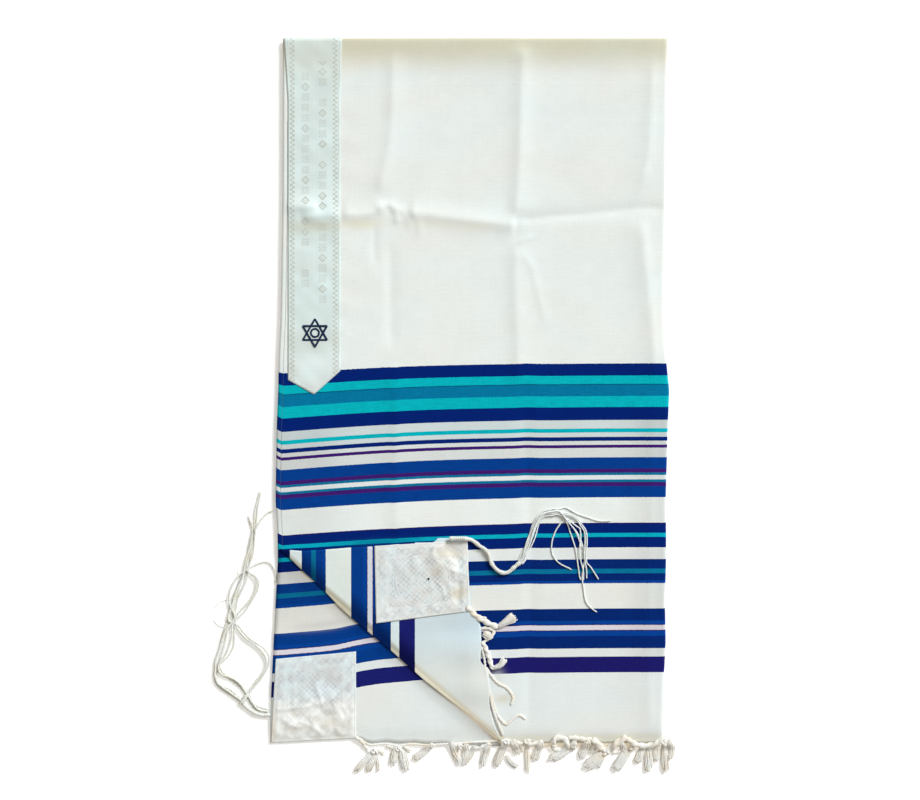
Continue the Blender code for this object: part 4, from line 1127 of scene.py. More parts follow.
# Stretches of the threads' routes on the surface, as (x, y).
leftRuns = {
    "upper": ((-0.2566, -0.3874), (-0.2694, -0.384), (-0.2764, -0.3765), (-0.2828, -0.3663)),
    "upper on": ((-0.2911, -0.3555), (-0.2987, -0.3491), (-0.3077, -0.344), (-0.3157, -0.3405),
                 (-0.3207, -0.3325)),
    "lower": ((-0.2841, -0.3817), (-0.2926, -0.3737), (-0.3, -0.3672), (-0.3077, -0.361),
              (-0.3153, -0.3559), (-0.3212, -0.3504)),
    "lower on": ((-0.3235, -0.3414), (-0.3227, -0.3312)),
    "inner": ((-0.2834, -0.3665), (-0.2789, -0.3593), (-0.2706, -0.3491), (-0.2624, -0.3386),
              (-0.2571, -0.3287), (-0.2566, -0.3185), (-0.2627, -0.3095), (-0.2719, -0.3019),
              (-0.2821, -0.2948), (-0.2904, -0.2865), (-0.2968, -0.277)),
    "main low": ((-0.3207, -0.321), (-0.3176, -0.3095), (-0.3138, -0.2968), (-0.3092, -0.2827)),
    "bulge": ((-0.316, -0.3236), (-0.3083, -0.3153), (-0.3038, -0.3044), (-0.3022, -0.2917),
              (-0.3018, -0.2789)),
    "main": ((-0.3051, -0.2687), (-0.3019, -0.2547), (-0.2987, -0.2419), (-0.2943, -0.2291),
             (-0.2891, -0.2151)),
    "main high": ((-0.284, -0.1998), (-0.2796, -0.1845), (-0.2764, -0.1691), (-0.2751, -0.1551)),
    "long tip": ((-0.2732, -0.1398), (-0.2706, -0.1232), (-0.2668, -0.1066)),
    "left tip": ((-0.2783, -0.1462), (-0.2821, -0.1372)),
    "right tip": ((-0.2719, -0.1526), (-0.2643, -0.1423), (-0.2566, -0.134), (-0.2496, -0.1302)),
    "side tip": ((-0.2994, -0.2623), (-0.3036, -0.2521), (-0.3061, -0.2419), (-0.3041, -0.231),
                 (-0.2987, -0.2202), (-0.2929, -0.2112)),
    "arc tip": ((-0.2834, -0.2074), (-0.2745, -0.1998), (-0.2643, -0.196), (-0.2566, -0.1972),
                (-0.2509, -0.2049), (-0.2477, -0.2151), (-0.2477, -0.2228)),
    "loop tip": ((-0.302, -0.273), (-0.2945, -0.264), (-0.2857, -0.2541), (-0.277, -0.2432),
                 (-0.2713, -0.233), (-0.27, -0.2228), (-0.2738, -0.2151), (-0.2821, -0.2094)),
}
rightRuns = {
    "main": ((0.065, -0.1965), (0.0689, -0.1915), (0.0728, -0.1819), (0.0766, -0.1717), (0.0804, -0.1602),
             (0.0843, -0.1494), (0.0894, -0.1398), (0.097, -0.1343), (0.106, -0.1328), (0.1162, -0.1331)),
    "far": ((0.1219, -0.1306), (0.1289, -0.1334), (0.1366, -0.1372), (0.1468, -0.1411), (0.157, -0.1432),
            (0.1685, -0.1439), (0.1813, -0.143)),
    "hook": ((0.1236, -0.143), (0.1194, -0.15), (0.1143, -0.1589), (0.1102, -0.1691), (0.1095, -0.1794),
             (0.1127, -0.1896), (0.1187, -0.1979), (0.1302, -0.2068)),
    "inner": ((0.1277, -0.1468), (0.1315, -0.1577), (0.134, -0.1691), (0.1383, -0.1896), (0.1399, -0.2113),
              (0.1421, -0.2189)),
    "fan long": ((0.1315, -0.15), (0.1385, -0.1611), (0.1427, -0.1708), (0.1455, -0.1806),
                 (0.1462, -0.1888), (0.144, -0.1998), (0.1434, -0.2138), (0.1454, -0.2275),
                 (0.1468, -0.2386), (0.1499, -0.247), (0.1551, -0.2528), (0.1634, -0.2594)),
    "fan out": ((0.1344, -0.1403), (0.1413, -0.1487), (0.1468, -0.1569), (0.1476, -0.1691),
                (0.1481, -0.1845), (0.1494, -0.196)),
    "out tip": ((0.1545, -0.2023), (0.1596, -0.21), (0.1656, -0.2178)),
    "short tip": ((0.15, -0.2062), (0.1496, -0.217)),
    "fan inner": ((0.1385, -0.1487), (0.1427, -0.1528), (0.1434, -0.1625), (0.1427, -0.1722),
                  (0.1443, -0.1883), (0.1468, -0.2062), (0.1468, -0.2189)),
}
# Each loose thread: how many others it lies on, the solids that it stands for, and its stretches with
# how far it lies to the left of each.
leftThreads = {
    "leftThreadLongA": (0, ("main", "tip_long"), ("upper", -0.0024), ("upper on", -0.0024),
                        ("main low", -0.0022), ("main", -0.0034), ("main high", -0.001),
                        ("long tip", -0.0012)),
    "leftThreadLongB": (0, (), ("upper", 0.0014), ("upper on", 0.0014), ("main low", 0.0006),
                        ("main", -0.0002), ("main high", 0.0014), ("long tip", 0.0014)),
    "leftThreadShort": (0, ("lower", "tip_left"), ("lower", 0.0018), ("lower on", 0.0018),
                        ("main low", 0.0034), ("main", 0.003), ("main high", 0.0028), ("left tip", 0.0)),
    "leftThreadArc": (0, ("lower", "arc"), ("lower", -0.002), ("lower on", -0.002), ("bulge", -0.0014),
                      ("main", -0.005), ("arc tip", 0.0)),
    "leftThreadLoopA": (1, ("loop", "tip_right"), ("upper", -0.0006), ("upper on", -0.0006),
                        ("bulge", 0.0016), ("loop tip", -0.0016), ("main high", -0.0026), ("right tip", 0.0)),
    "leftThreadLoopB": (1, (), ("lower", 0.0), ("lower on", 0.0), ("main low", 0.002),
                        ("loop tip", 0.001), ("main high", 0.0)),
    "leftThreadInner": (1, ("inner",), ("inner", -0.0015), ("main", 0.0012), ("main high", 0.002)),
    "leftThreadSide": (1, ("side",), ("inner", 0.0015), ("side tip", 0.0), ("main high", -0.0022)),
}
rightThreads = {
    "rightThreadFar": (0, ("main", "far"), ("main", 0.0036), ("far", 0.0036)),
    "rightThreadHook": (0, ("hook",), ("main", -0.0036), ("hook", -0.0036)),
    "rightThreadInner": (0, ("inner",), ("main", -0.0012), ("inner", -0.0012)),
    "rightThreadLong": (0, ("fan", "tip_long"), ("main", 0.001), ("fan long", 0.001)),
    "rightThreadOut": (1, ("tip_out",), ("main", 0.002), ("fan out", 0.002), ("out tip", 0.002)),
    "rightThreadShort": (1, ("tip_short",), ("main", 0.0), ("fan out", 0.0), ("short tip", 0.0)),
    "rightThreadFan": (1, (), ("main", -0.002), ("fan inner", -0.002)),
    "rightThreadFanB": (2, (), ("main", 0.0), ("fan long", 0.0)),
}


def floorUnder(x, y):
    return np.zeros_like(x)


def clothUnder(x, y):
    # what a thread lies on over the shawl: the top layer, or the turned corner on it
    onFlap = np.clip((tasselSet["flap until"] - x) / tasselSet["flap over"], 0, 1)
    flapHeight = corner["lift"] + lay["wall"] + tasselSet["flap higher"]
    return frontHeight(x, y) + lay["wall"] / 2 + flapHeight * onFlap


def layThread(name, level, stretches, runs, under, thick, seed):
    # a thread's middle line: along its stretches, a little wavy, and on the threads below it
    flat = smoothRoute([(*point, aside) for run, aside in stretches for point in runs[run]],
                       tasselSet["ring every"])
    flat = flat[:int(len(flat) * tasselSet["stops"].get(name, 1.0))]
    flat, aside = flat[:, :2], flat[:, 2]
    way = wayOf(flat)
    walked = np.linspace(0, lengthOf(flat), len(flat))
    draw = np.random.default_rng(seed)
    wander = sum(wide * np.sin(walked / every * 2 + draw.uniform(0, 6.3))
                 for wide, every in tasselSet["wander"])
    loose = np.clip((walked[-1] - walked) / tasselSet["loose over"], 0, 1)
    aside = aside * loose + wander * np.clip(walked / tasselSet["settles"], 0, 1)
    x, y = flat[:, 0] - way[:, 1] * aside, flat[:, 1] + way[:, 0] * aside
    raised = level * thick * tasselSet["stacked"] * loose + tasselSet["clear"]
    return np.stack([x, y, under(x, y) + thick / 2 + raised], -1)


def makeFrays():
    # loose fibres that stand out of the left tassel, and the turn of cord that holds its strands together
    parts = newParts()
    for fray in tasselSet["frays"]:
        flat = smoothRoute(fray, 0.0012)
        points = np.column_stack([flat, np.full(len(flat), tasselSet["fray high"])])
        addTube(parts, points, tasselSet["fray thick"] / 2 * rounded(len(flat), 3.0), sides=6)
    wrap = tasselSet["wrap"]
    first, last, thick = np.array(wrap["from"]), np.array(wrap["to"]), wrap["thick"]
    angle = np.linspace(0, 2 * math.pi, 21)
    side = np.array(wrap["across"])[None, :] * np.cos(angle)[:, None]
    z = np.maximum(wrap["middle"] + wrap["high"] * np.sin(angle), thick / 2)
    for k in range(wrap["turns"]):
        middle = first + (last - first) * (k + 0.5) / wrap["turns"]
        addTube(parts, np.column_stack([middle + side, z]), thick / 2, sides=7, plies=2, depth=0.2,
                pitch=0.005)
    return finishParts("leftFrays", parts, tasselYarn)


def makeThreads(side, threads, runs, under, finish):
    # helpers: the pieces that go with one of the threads
    thick = tasselSet[f"{side} thick"]
    for k, (name, (level, solids, *stretches)) in enumerate(threads.items()):
        points = layThread(name, level, stretches, runs, under, thick, tasselSet[f"{side} seed"] + k)
        parts = newParts()
        radius = thick / 2 * rounded(len(points), 2.0)
        addTube(parts, points, radius, sides=9, plies=3, depth=0.22, pitch=tasselSet["twist"])
        piece = finishParts(name, parts, finish)
        lengthOf(points)
        if solids:
            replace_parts(piece, *(f"tassel_{side}_{solid}" for solid in solids))


windingSet = {"every": 0.00045, "knots from": 0.004, "knots until": 0.006, "knots apart": 0.017,
              "last knot": 0.003, "knot": 0.0024, "thin": 0.88, "swell": 0.22, "pitch": 0.0024,
              "depth": 0.24}


def makeWinding(name, route, under, node):
    # eight threads bound by one that is wound round them, with double knots between the windings
    flat = smoothRoute(route, windingSet["every"])
    width = tasselSet["wound"]
    z = under(flat[:, 0], flat[:, 1]) + width / 2 + tasselSet["clear"]
    points = np.column_stack([flat, z])
    length = lengthOf(points)
    walked = np.linspace(0, length, len(points))
    knots = np.arange(windingSet["knots from"], length - windingSet["knots until"],
                      windingSet["knots apart"])
    knots = np.append(knots, length - windingSet["last knot"])
    swell = np.clip(sum(bell(walked, knot, windingSet["knot"]) for knot in knots), 0, 1)
    parts = newParts()
    radius = width / 2 * (windingSet["thin"] + windingSet["swell"] * swell) * rounded(len(points), 4.0)
    addTube(parts, points, radius, sides=14, plies=1, depth=windingSet["depth"], pitch=windingSet["pitch"])
    piece = finishParts(name, parts, tasselYarn)
    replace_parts(piece, node)


makeWinding("leftWinding", tasselSet["left winding"], floorUnder, "tassel_left_winding")
makeFrays()
makeThreads("left", leftThreads, leftRuns, floorUnder, tasselYarn)
makeWinding("rightWinding", tasselSet["right winding"], clothUnder, "tassel_right_winding")
makeThreads("right", rightThreads, rightRuns, clothUnder, clearYarn)
print("tassels laid")

layerSet = {"wide": 0.49, "long": 0.9, "front step": 0.0032, "roll steps": 8, "under step": 0.006,
            "hidden top": 0.003, "hidden hem": 0.012, "hidden side": 0.0045, "hidden inset": (0.001, 0.003),
            "hidden rows": 90, "hidden round": 0.0007, "under top": 0.0003, "under left": 0.0015,
            "under left over": 0.02, "under right": 0.0008, "hem over": 0.1}


def frontLeft(y):
    # the selvedge, straight along the part that is turned back
    tip = corner["flat tip"]
    straight = start[0] + (y - start[1]) / (tip[1] - start[1]) * (tip[0] - start[0])
    return np.where(y > start[1], leftAt(lay["neck"] - y), straight)


def acrossRows(left, right, step):
    # places across the cloth, row by row, from its left edge to its right one
    shares = np.linspace(0, 1, int(layerSet["wide"] / step) + 1)
    return left[:, None] + (right - left)[:, None] * shares[None, :]


def makeFront():
    # a flat grid cut along the turned fold, then laid where the cloth lies
    step, rolls = layerSet["front step"], layerSet["roll steps"]
    ys = np.linspace(flatTop, lay["hem"], int((flatTop - lay["hem"]) / step) + 1)
    ys = np.concatenate([flatTop + math.pi * lay["neck roll"] * np.arange(rolls, 0, -1) / rolls, ys])
    level = np.minimum(ys, lay["neck"])
    xs = acrossRows(frontLeft(level), sideEdge(ys), step)
    xs = np.hstack([xs, xs[:, -1:] + math.pi * lay["side roll"] * np.arange(1, rolls + 1)[None, :] / rolls])
    flat = np.stack([xs, np.broadcast_to(ys[:, None], xs.shape), np.zeros_like(xs)], -1)
    mesh = bpy.data.meshes.new("frontPanel")
    mesh.from_pydata(flat.reshape(-1, 3).tolist(), [], gridFaces(*xs.shape))
    cut = bmesh.new()
    cut.from_mesh(mesh)
    for k in range(rolls + 1):
        at = start + foldOut * rollLength * k / rolls
        bmesh.ops.bisect_plane(cut, geom=cut.verts[:] + cut.edges[:] + cut.faces[:], dist=2e-4,
                               plane_co=(at[0], at[1], 0), plane_no=(foldOut[0], foldOut[1], 0))
    cut.to_mesh(mesh)
    cut.free()
    places = np.zeros(len(mesh.vertices) * 3)
    mesh.vertices.foreach_get("co", places)
    places = places.reshape(-1, 3)
    x, y = places[:, 0], places[:, 1]
    mesh.vertices.foreach_set("co", frontPoint(x, y).ravel())
    mesh.update()
    addCloth(mesh, frontCloth(x, y))
    piece = addPiece("frontPanel", mesh, frontWool)
    mesh.materials.append(backWool)
    for face in mesh.polygons:
        middle = places[list(face.vertices), :2].mean(axis=0)
        face.material_index = int((middle - start) @ foldOut > rollLength / 2)
    addWall(piece, lay["wall"])
    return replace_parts(piece, "front_panel")


def makeUnder():
    step = layerSet["under step"]
    ys = np.linspace(flatTop - layerSet["under top"], lay["hem"], int(layerSet["long"] / step) + 1)
    down = lay["neck"] - ys
    covered = np.clip((ys - start[1]) / layerSet["under left over"], 0, 1)
    left = leftAt(down) + layerSet["under left"] * covered
    right = rightAt(down) - lay["side roll"] - layerSet["under right"]
    xs = acrossRows(left, right, step)
    ys = np.broadcast_to(ys[:, None], xs.shape)
    atHem = np.clip(1 - (ys - lay["hem"]) / layerSet["hem over"], 0, 1)
    ys = ys + (underHem(xs) - lay["hem"]) * atHem
    points, cloth = underPoint(xs, ys), underCloth(xs, ys)
    piece = makeMesh("underPanel", points.reshape(-1, 3), gridFaces(*xs.shape), cloth.reshape(-1, 2),
                     underWool)
    addWall(piece, lay["wall"])
    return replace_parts(piece, "under_panel")


def makeHidden():
    # the two lowest layers as one soft solid with a step between them
    top, bottom = lay["neck"] - layerSet["hidden top"], lay["hem"] + layerSet["hidden hem"]
    thick = lay["hidden height"] / 2
    downs = np.linspace(bottom, top, layerSet["hidden rows"])
    verts, cloth, faces = [], [], []
    for layer, farIn in enumerate(layerSet["hidden inset"]):
        for angle in np.linspace(-math.pi / 2, math.pi / 2, 7):
            inset = farIn + layerSet["hidden round"] * (1 - math.cos(angle))
            ys = np.clip(downs, bottom + inset, top - inset)
            left = leftAt(lay["neck"] - downs) + inset
            right = rightAt(lay["neck"] - downs) - layerSet["hidden side"] - inset
            ring = np.vstack([np.stack([left, ys], -1), np.stack([right, ys], -1)[::-1]])
            z = thick * (layer + 0.5 + 0.49 * math.sin(angle))
            verts.append(np.column_stack([ring, np.full(len(ring), z)]))
            cloth.append(underCloth(ring[:, 0], ring[:, 1]))
    count = len(verts[0])
    for k in range(len(verts) - 1):
        a = np.arange(count) + k * count
        b = np.roll(a, -1)
        faces += np.stack([a, b, b + count, a + count], -1).tolist()
    last = (len(verts) - 1) * count
    for k in range(count // 2 - 1):
        faces.append([k + 1, k, count - 1 - k, count - 2 - k])
        faces.append([last + k, last + k + 1, last + count - 2 - k, last + count - 1 - k])
    piece = makeMesh("hiddenLayers", np.vstack(verts), faces, np.vstack(cloth), underWool)
    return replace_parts(piece, "hidden_layers")


frontPanel = makeFront()
print("top layer laid,", len(frontPanel.data.polygons), "faces")
underPanel = makeUnder()
makeHidden()

bandSet = {
    "wall": 0.0006, "left top": -0.2362, "left": -0.2311, "right top": -0.1621, "right": -0.1642,
    "tip x": -0.1979, "ends": (0.0364, 0.0179, 0.0479), "slack": 0.0004, "uneven": (0.022, 12),
    "widens over": 0.08, "calm sides": 0.1, "calm end": 0.02, "rows": 200, "columns": 34,
}
bandTop = flatTop + math.pi / 2 * lay["neck roll"]


def bandPlace(u, t):
    # the flat place at a share across and a share down the band
    xEnd = bandSet["left"] + (bandSet["right"] - bandSet["left"]) * u
    yEnd = np.interp(xEnd, [bandSet["left"], bandSet["tip x"], bandSet["right"]], bandSet["ends"])
    y = bandTop + (yEnd - bandTop) * t
    fall = np.clip((lay["neck"] - y) / bandSet["widens over"], 0, 1)
    left = bandSet["left top"] + (bandSet["left"] - bandSet["left top"]) * fall
    right = bandSet["right top"] + (bandSet["right"] - bandSet["right top"]) * fall
    return left + (right - left) * u, y


def bandPoint(u, t, out=0.0):
    x, y = bandPlace(u, t)
    inside = np.clip(np.minimum(u, 1 - u) / bandSet["calm sides"], 0, 1)
    inside = inside * np.clip((1 - t) / bandSet["calm end"], 0, 1)
    slack = bandSet["slack"] * (1 + softNoise(x * 0.8, y, *bandSet["uneven"])) * inside
    base = lay["wall"] / 2 + lay["gap"] / 2 + bandSet["wall"] / 2
    return liftOff(frontPoint, x, y, (base + slack + out)[..., None])


def makeBand():
    rows, columns = bandSet["rows"], bandSet["columns"]
    u, t = np.meshgrid(np.linspace(0, 1, columns), np.linspace(0, 1, rows))
    x, y = bandPlace(u, t)
    cloth = np.stack([x - bandSet["left top"], lay["neck"] - y], -1)
    piece = makeMesh("neckBand", bandPoint(u, t).reshape(-1, 3), gridFaces(rows, columns),
                     cloth.reshape(-1, 2), bandSatin)
    addWall(piece, bandSet["wall"])
    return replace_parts(piece, "neckband")


# Wrinkles: height, reach and path. Spots of painted shade and sheen: place, size, colour and share.
turnedPatchSet = {
    "corners": ((-0.1205, -0.1752), (-0.0019, -0.1679), (0.001, -0.2585), (-0.1185, -0.2738)),
    "size": (0.118, 0.094), "wall": 0.0005, "seed": 51, "slack": (0.0006, 0.0013), "slack from": 0.55,
    "slack way": 0,   # 0: towards the right, 1: downwards
    "wrinkles": (
        (0.001, 0.005, (-0.044, -0.173), (-0.0465, -0.185), (-0.04, -0.196), (-0.027, -0.204),
         (-0.016, -0.212)),
        (0.0007, 0.003, (-0.03, -0.19), (-0.022, -0.196), (-0.013, -0.2)),
        (0.0007, 0.0028, (-0.024, -0.204), (-0.015, -0.208), (-0.006, -0.211)),
        (0.0006, 0.0028, (-0.02, -0.216), (-0.012, -0.219), (-0.005, -0.221)),
        (0.0008, 0.003, (-0.042, -0.22), (-0.033, -0.229), (-0.031, -0.242)),
        (0.0007, 0.003, (-0.023, -0.225), (-0.024, -0.238), (-0.018, -0.249))),
    "light": (230, 239, 240), "warm": (227, 225, 221), "line": (190, 195, 198), "strength": 0.8,
    "fades": 95.0, "faint": 0.15, "drift": 0.013, "bright": (0.0, -1.0),
    # painted shade in the patch's hollows, and painted highlights on its satin
    "shadeAndSheenSpots": (
        (0.092, 0.079, 0.0179, 0.0115, (226, 217, 198), 0.85),
        (0.0802, 0.0564, 0.0102, 0.0089, (226, 217, 198), 0.75),
        (0.1038, 0.0263, 0.014, 0.0089, (222, 213, 192), 0.85),
        (0.0248, 0.0526, 0.0255, 0.0306, (210, 222, 228), 0.4),
        (0.0979, 0.0508, 0.014, 0.0128, (240, 242, 240), 0.6),
        (0.013, 0.0141, 0.0166, 0.0128, (238, 241, 240), 0.5),
        (0.0673, 0.0818, 0.0089, 0.0115, (240, 243, 242), 0.6),
        (0.0802, 0.0038, 0.0179, 0.0077, (240, 240, 236), 0.5)),
}
underPatchSet = {
    "corners": ((-0.2468, -0.3198), (-0.1443, -0.3102), (-0.1443, -0.4215), (-0.2531, -0.4272)),
    "size": (0.103, 0.109), "wall": 0.0005, "seed": 77, "slack": (0.0008, 0.0017), "slack from": 0.45,
    "slack way": 1,
    "wrinkles": (
        (0.0012, 0.0045, (-0.248, -0.385), (-0.225, -0.383), (-0.205, -0.38), (-0.19, -0.376)),
        (0.0012, 0.004, (-0.196, -0.356), (-0.19, -0.368), (-0.188, -0.38)),
        (0.0013, 0.0055, (-0.218, -0.399), (-0.2, -0.406), (-0.185, -0.417)),
        (0.0011, 0.005, (-0.176, -0.368), (-0.17, -0.385), (-0.172, -0.398)),
        (0.0009, 0.004, (-0.24, -0.395), (-0.228, -0.404), (-0.215, -0.408)),
        (0.001, 0.0045, (-0.162, -0.378), (-0.156, -0.392), (-0.16, -0.408))),
    "light": (226, 238, 241), "warm": (218, 220, 219), "line": (192, 198, 202), "strength": 0.8,
    "fades": 95.0, "faint": 0.15, "drift": 0.011, "bright": (0.064, 0.05),
    # painted shade in the patch's creases, and painted highlights on its satin
    "shadeAndSheenSpots": (
        (0.0721, 0.0392, 0.0064, 0.0077, (196, 194, 190), 0.7),
        (0.0, 0.0196, 0.0051, 0.0204, (226, 214, 196), 0.85),
        (0.0711, 0.0229, 0.0115, 0.0064, (226, 217, 202), 0.6),
        (0.0824, 0.0392, 0.0089, 0.0102, (250, 249, 247), 0.7),
        (0.0608, 0.0643, 0.0166, 0.0077, (232, 242, 250), 0.75),
        (0.0742, 0.0818, 0.0153, 0.0115, (206, 203, 200), 0.6),
        (0.0257, 0.0818, 0.0204, 0.0077, (206, 212, 216), 0.5),
        (0.0958, 0.0894, 0.0102, 0.0179, (226, 238, 240), 0.6)),
}


def flapTop(x, y):
    # height of the turned part's middle surface at a placed spot
    return frontHeight(x, y) + corner["lift"] + flapSwelling(x, y)


def underTop(x, y):
    return underPoint(x, y)[..., 2]


# How the satin of both patches lies: calm at its edges, rippled inside.
patchSet = {"grid": 96, "calm edge": 0.07, "blend": 0.15, "ripple": 0.019, "contrast": 1.8,
            "warp": 0.006, "warp size": 0.02, "wrinkle ends": 0.006}


def patchPoint(table, heightAt, u, t, out=0.0):
    topLeft, topRight, lowRight, lowLeft = (np.array(c) for c in table["corners"])
    u, t = np.broadcast_arrays(np.asarray(u, float), np.asarray(t, float))
    a, b = u[..., None], t[..., None]
    place = (topLeft * (1 - a) + topRight * a) * (1 - b) + (lowLeft * (1 - a) + lowRight * a) * b
    x, y = place[..., 0], place[..., 1]
    inside = eased(np.minimum(np.minimum(u, 1 - u), np.minimum(t, 1 - t)) / patchSet["calm edge"])
    calm, loose = table["slack"]
    share = np.clip(((u, t)[table["slack way"]] - table["slack from"]) / patchSet["blend"], 0, 1)
    warp = patchSet["warp"] * softNoise(x, y, patchSet["warp size"], table["seed"] + 1)
    wave = softNoise(x + warp, y, patchSet["ripple"], table["seed"])
    height = (calm + (loose - calm) * share) * (0.5 + 0.5 * np.clip(wave * patchSet["contrast"], -1, 1))
    for high, reach, *path in table["wrinkles"]:
        height = height + creaseHeight(x, y, high, reach, reach * 1.5, patchSet["wrinkle ends"], *path)
    z = heightAt(x, y) + lay["wall"] / 2 + lay["gap"] + table["wall"] / 2 + height * inside + out
    return np.stack([x, y, z], -1)


def makePatch(name, table, heightAt, node):
    count = patchSet["grid"]
    u, t = np.meshgrid(np.linspace(0, 1, count), np.linspace(0, 1, count))
    cloth = np.stack([u * table["size"][0], (1 - t) * table["size"][1]], -1)
    material = makeSatin(name + "Satin", patchFigure(table["size"]), table)
    points = patchPoint(table, heightAt, u, t).reshape(-1, 3)
    piece = makeMesh(name, points, gridFaces(count, count), cloth.reshape(-1, 2), material)
    addWall(piece, table["wall"])
    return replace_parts(piece, node)


stitchSet = {"long": 0.0026, "apart": 0.0038, "thick": 0.00045, "inset": 0.0016, "band width": 0.069,
             "patch width": 0.11, "off band": 0.0004, "off patches": 0.0003}


def addStitches(parts, surface, corners):
    # a running stitch along straight lines between shares (u, t) of a surface
    for first, last in zip(corners, corners[1:]):
        first, last = np.array(first, float), np.array(last, float)
        line = surface(*(first + (last - first) * np.linspace(0, 1, 40)[:, None]).T)
        count = max(int(lengthOf(line) / stitchSet["apart"]), 1)
        half = stitchSet["long"] / stitchSet["apart"] / 2
        for k in range(count):
            at = np.clip(np.linspace(k + 0.5 - half, k + 0.5 + half, 5) / count, 0, 1)[:, None]
            points = surface(*(first + (last - first) * at).T)
            points[:, 2] += stitchSet["thick"] * (0.9 * np.sin(np.linspace(0, math.pi, 5)) - 0.2)
            addTube(parts, points, stitchSet["thick"] / 2, sides=5)


def makeStitches():
    parts = newParts()
    edge = stitchSet["inset"] / stitchSet["band width"]
    point = (bandSet["tip x"] - bandSet["left"]) / (bandSet["right"] - bandSet["left"])
    addStitches(parts, lambda u, t: bandPoint(u, t, stitchSet["off band"]), (
        (edge, 0.008), (edge, 0.994), (point, 0.994), (1 - edge, 0.994), (1 - edge, 0.008)))
    edge = stitchSet["inset"] / stitchSet["patch width"]
    for table, heightAt in ((turnedPatchSet, flapTop), (underPatchSet, underTop)):
        addStitches(parts, lambda u, t: patchPoint(table, heightAt, u, t, stitchSet["off patches"]), (
            (edge, edge), (1 - edge, edge), (1 - edge, 1 - edge), (edge, 1 - edge), (edge, edge)))
    finishParts("stitches", parts, whiteThread)


starSet = {"place": (-0.1966, 0.0964), "radius": 0.0178, "line": 0.0024, "thread": 0.00055,
           "ring": 0.0052, "overlap": 0.9, "slant": 0.0003, "raised": 0.0005, "second higher": 0.0004}


def makeStar():
    # a six-pointed star and a ring in satin stitch, their lines laid thread by thread
    parts, thread = newParts(), starSet["thread"]
    base = lay["wall"] / 2 + lay["gap"] / 2 + bandSet["wall"] + bandSet["slack"] * 1.2
    across = np.linspace(-1, 1, 5)[:, None]
    outlines = []
    for turn, lift in ((math.pi / 2, 0.0), (-math.pi / 2, starSet["second higher"])):
        outlines.append((starSet["radius"], turn + np.arange(4) * 2 * math.pi / 3, lift))
    outlines.append((starSet["ring"], np.linspace(0, 2 * math.pi, 19), 0.0))
    for radius, angles, lift in outlines:
        points = radius * np.column_stack([np.cos(angles), np.sin(angles)])
        for first, last in zip(points, points[1:]):
            long = np.linalg.norm(last - first)
            way = (last - first) / long
            side = np.array([-way[1], way[0]])
            for at in np.arange(0, long, thread * starSet["overlap"]):
                flat = starSet["place"] + first + way * at + side * across * starSet["line"] / 2
                flat = flat + way * across * starSet["slant"]
                z = frontPoint(flat[:, 0], flat[:, 1])[:, 2] + base + lift
                z = z + starSet["raised"] * (1 - across[:, 0] ** 2)
                addTube(parts, np.column_stack([flat, z]), thread / 2, sides=5)
    finishParts("sewnStar", parts, navyThread)


eyeletSet = {"place": (0.57, 0.49), "radius": 0.0019, "thick": 0.0009, "raised": 0.0003,
             "dark": (0.00035, 0.00005)}


def makeEyelet():
    # a stitched hole through the turned patch: its ring, and a disc of painted shade between two heights
    parts, dark = newParts(), newParts()
    middle = patchPoint(turnedPatchSet, flapTop, *eyeletSet["place"])
    angles = np.linspace(0, 2 * math.pi, 25)
    ring = middle + np.stack([np.cos(angles), np.sin(angles), angles * 0], -1) * eyeletSet["radius"]
    addTube(parts, ring + (0, 0, eyeletSet["raised"]), eyeletSet["thick"] / 2, sides=8, plies=5, depth=0.3,
            pitch=0.0022)
    dark["verts"] = [ring[:-1] + (0, 0, z) for z in eyeletSet["dark"]]
    k = np.arange(len(ring) - 1)
    after, count = np.roll(k, -1), len(k)
    sides = np.stack([k + count, after + count, after, k], -1).tolist()
    dark["faces"] = [k.tolist(), (k[::-1] + count).tolist()] + sides
    dark["cloth"] = [np.zeros((2 * count, 2))]
    finishParts("eyelet", parts, whiteThread)
    finishParts("eyeletHole", dark, paintedHoleShade)


neckBand = makeBand()
turnedPatch = makePatch("turnedPatch", turnedPatchSet, flapTop, "corner_patch_turned")
underPatch = makePatch("underPatch", underPatchSet, underTop, "corner_patch_under")
makeStitches()
makeStar()
makeEyelet()
print("band, patches and stitches sewn on")

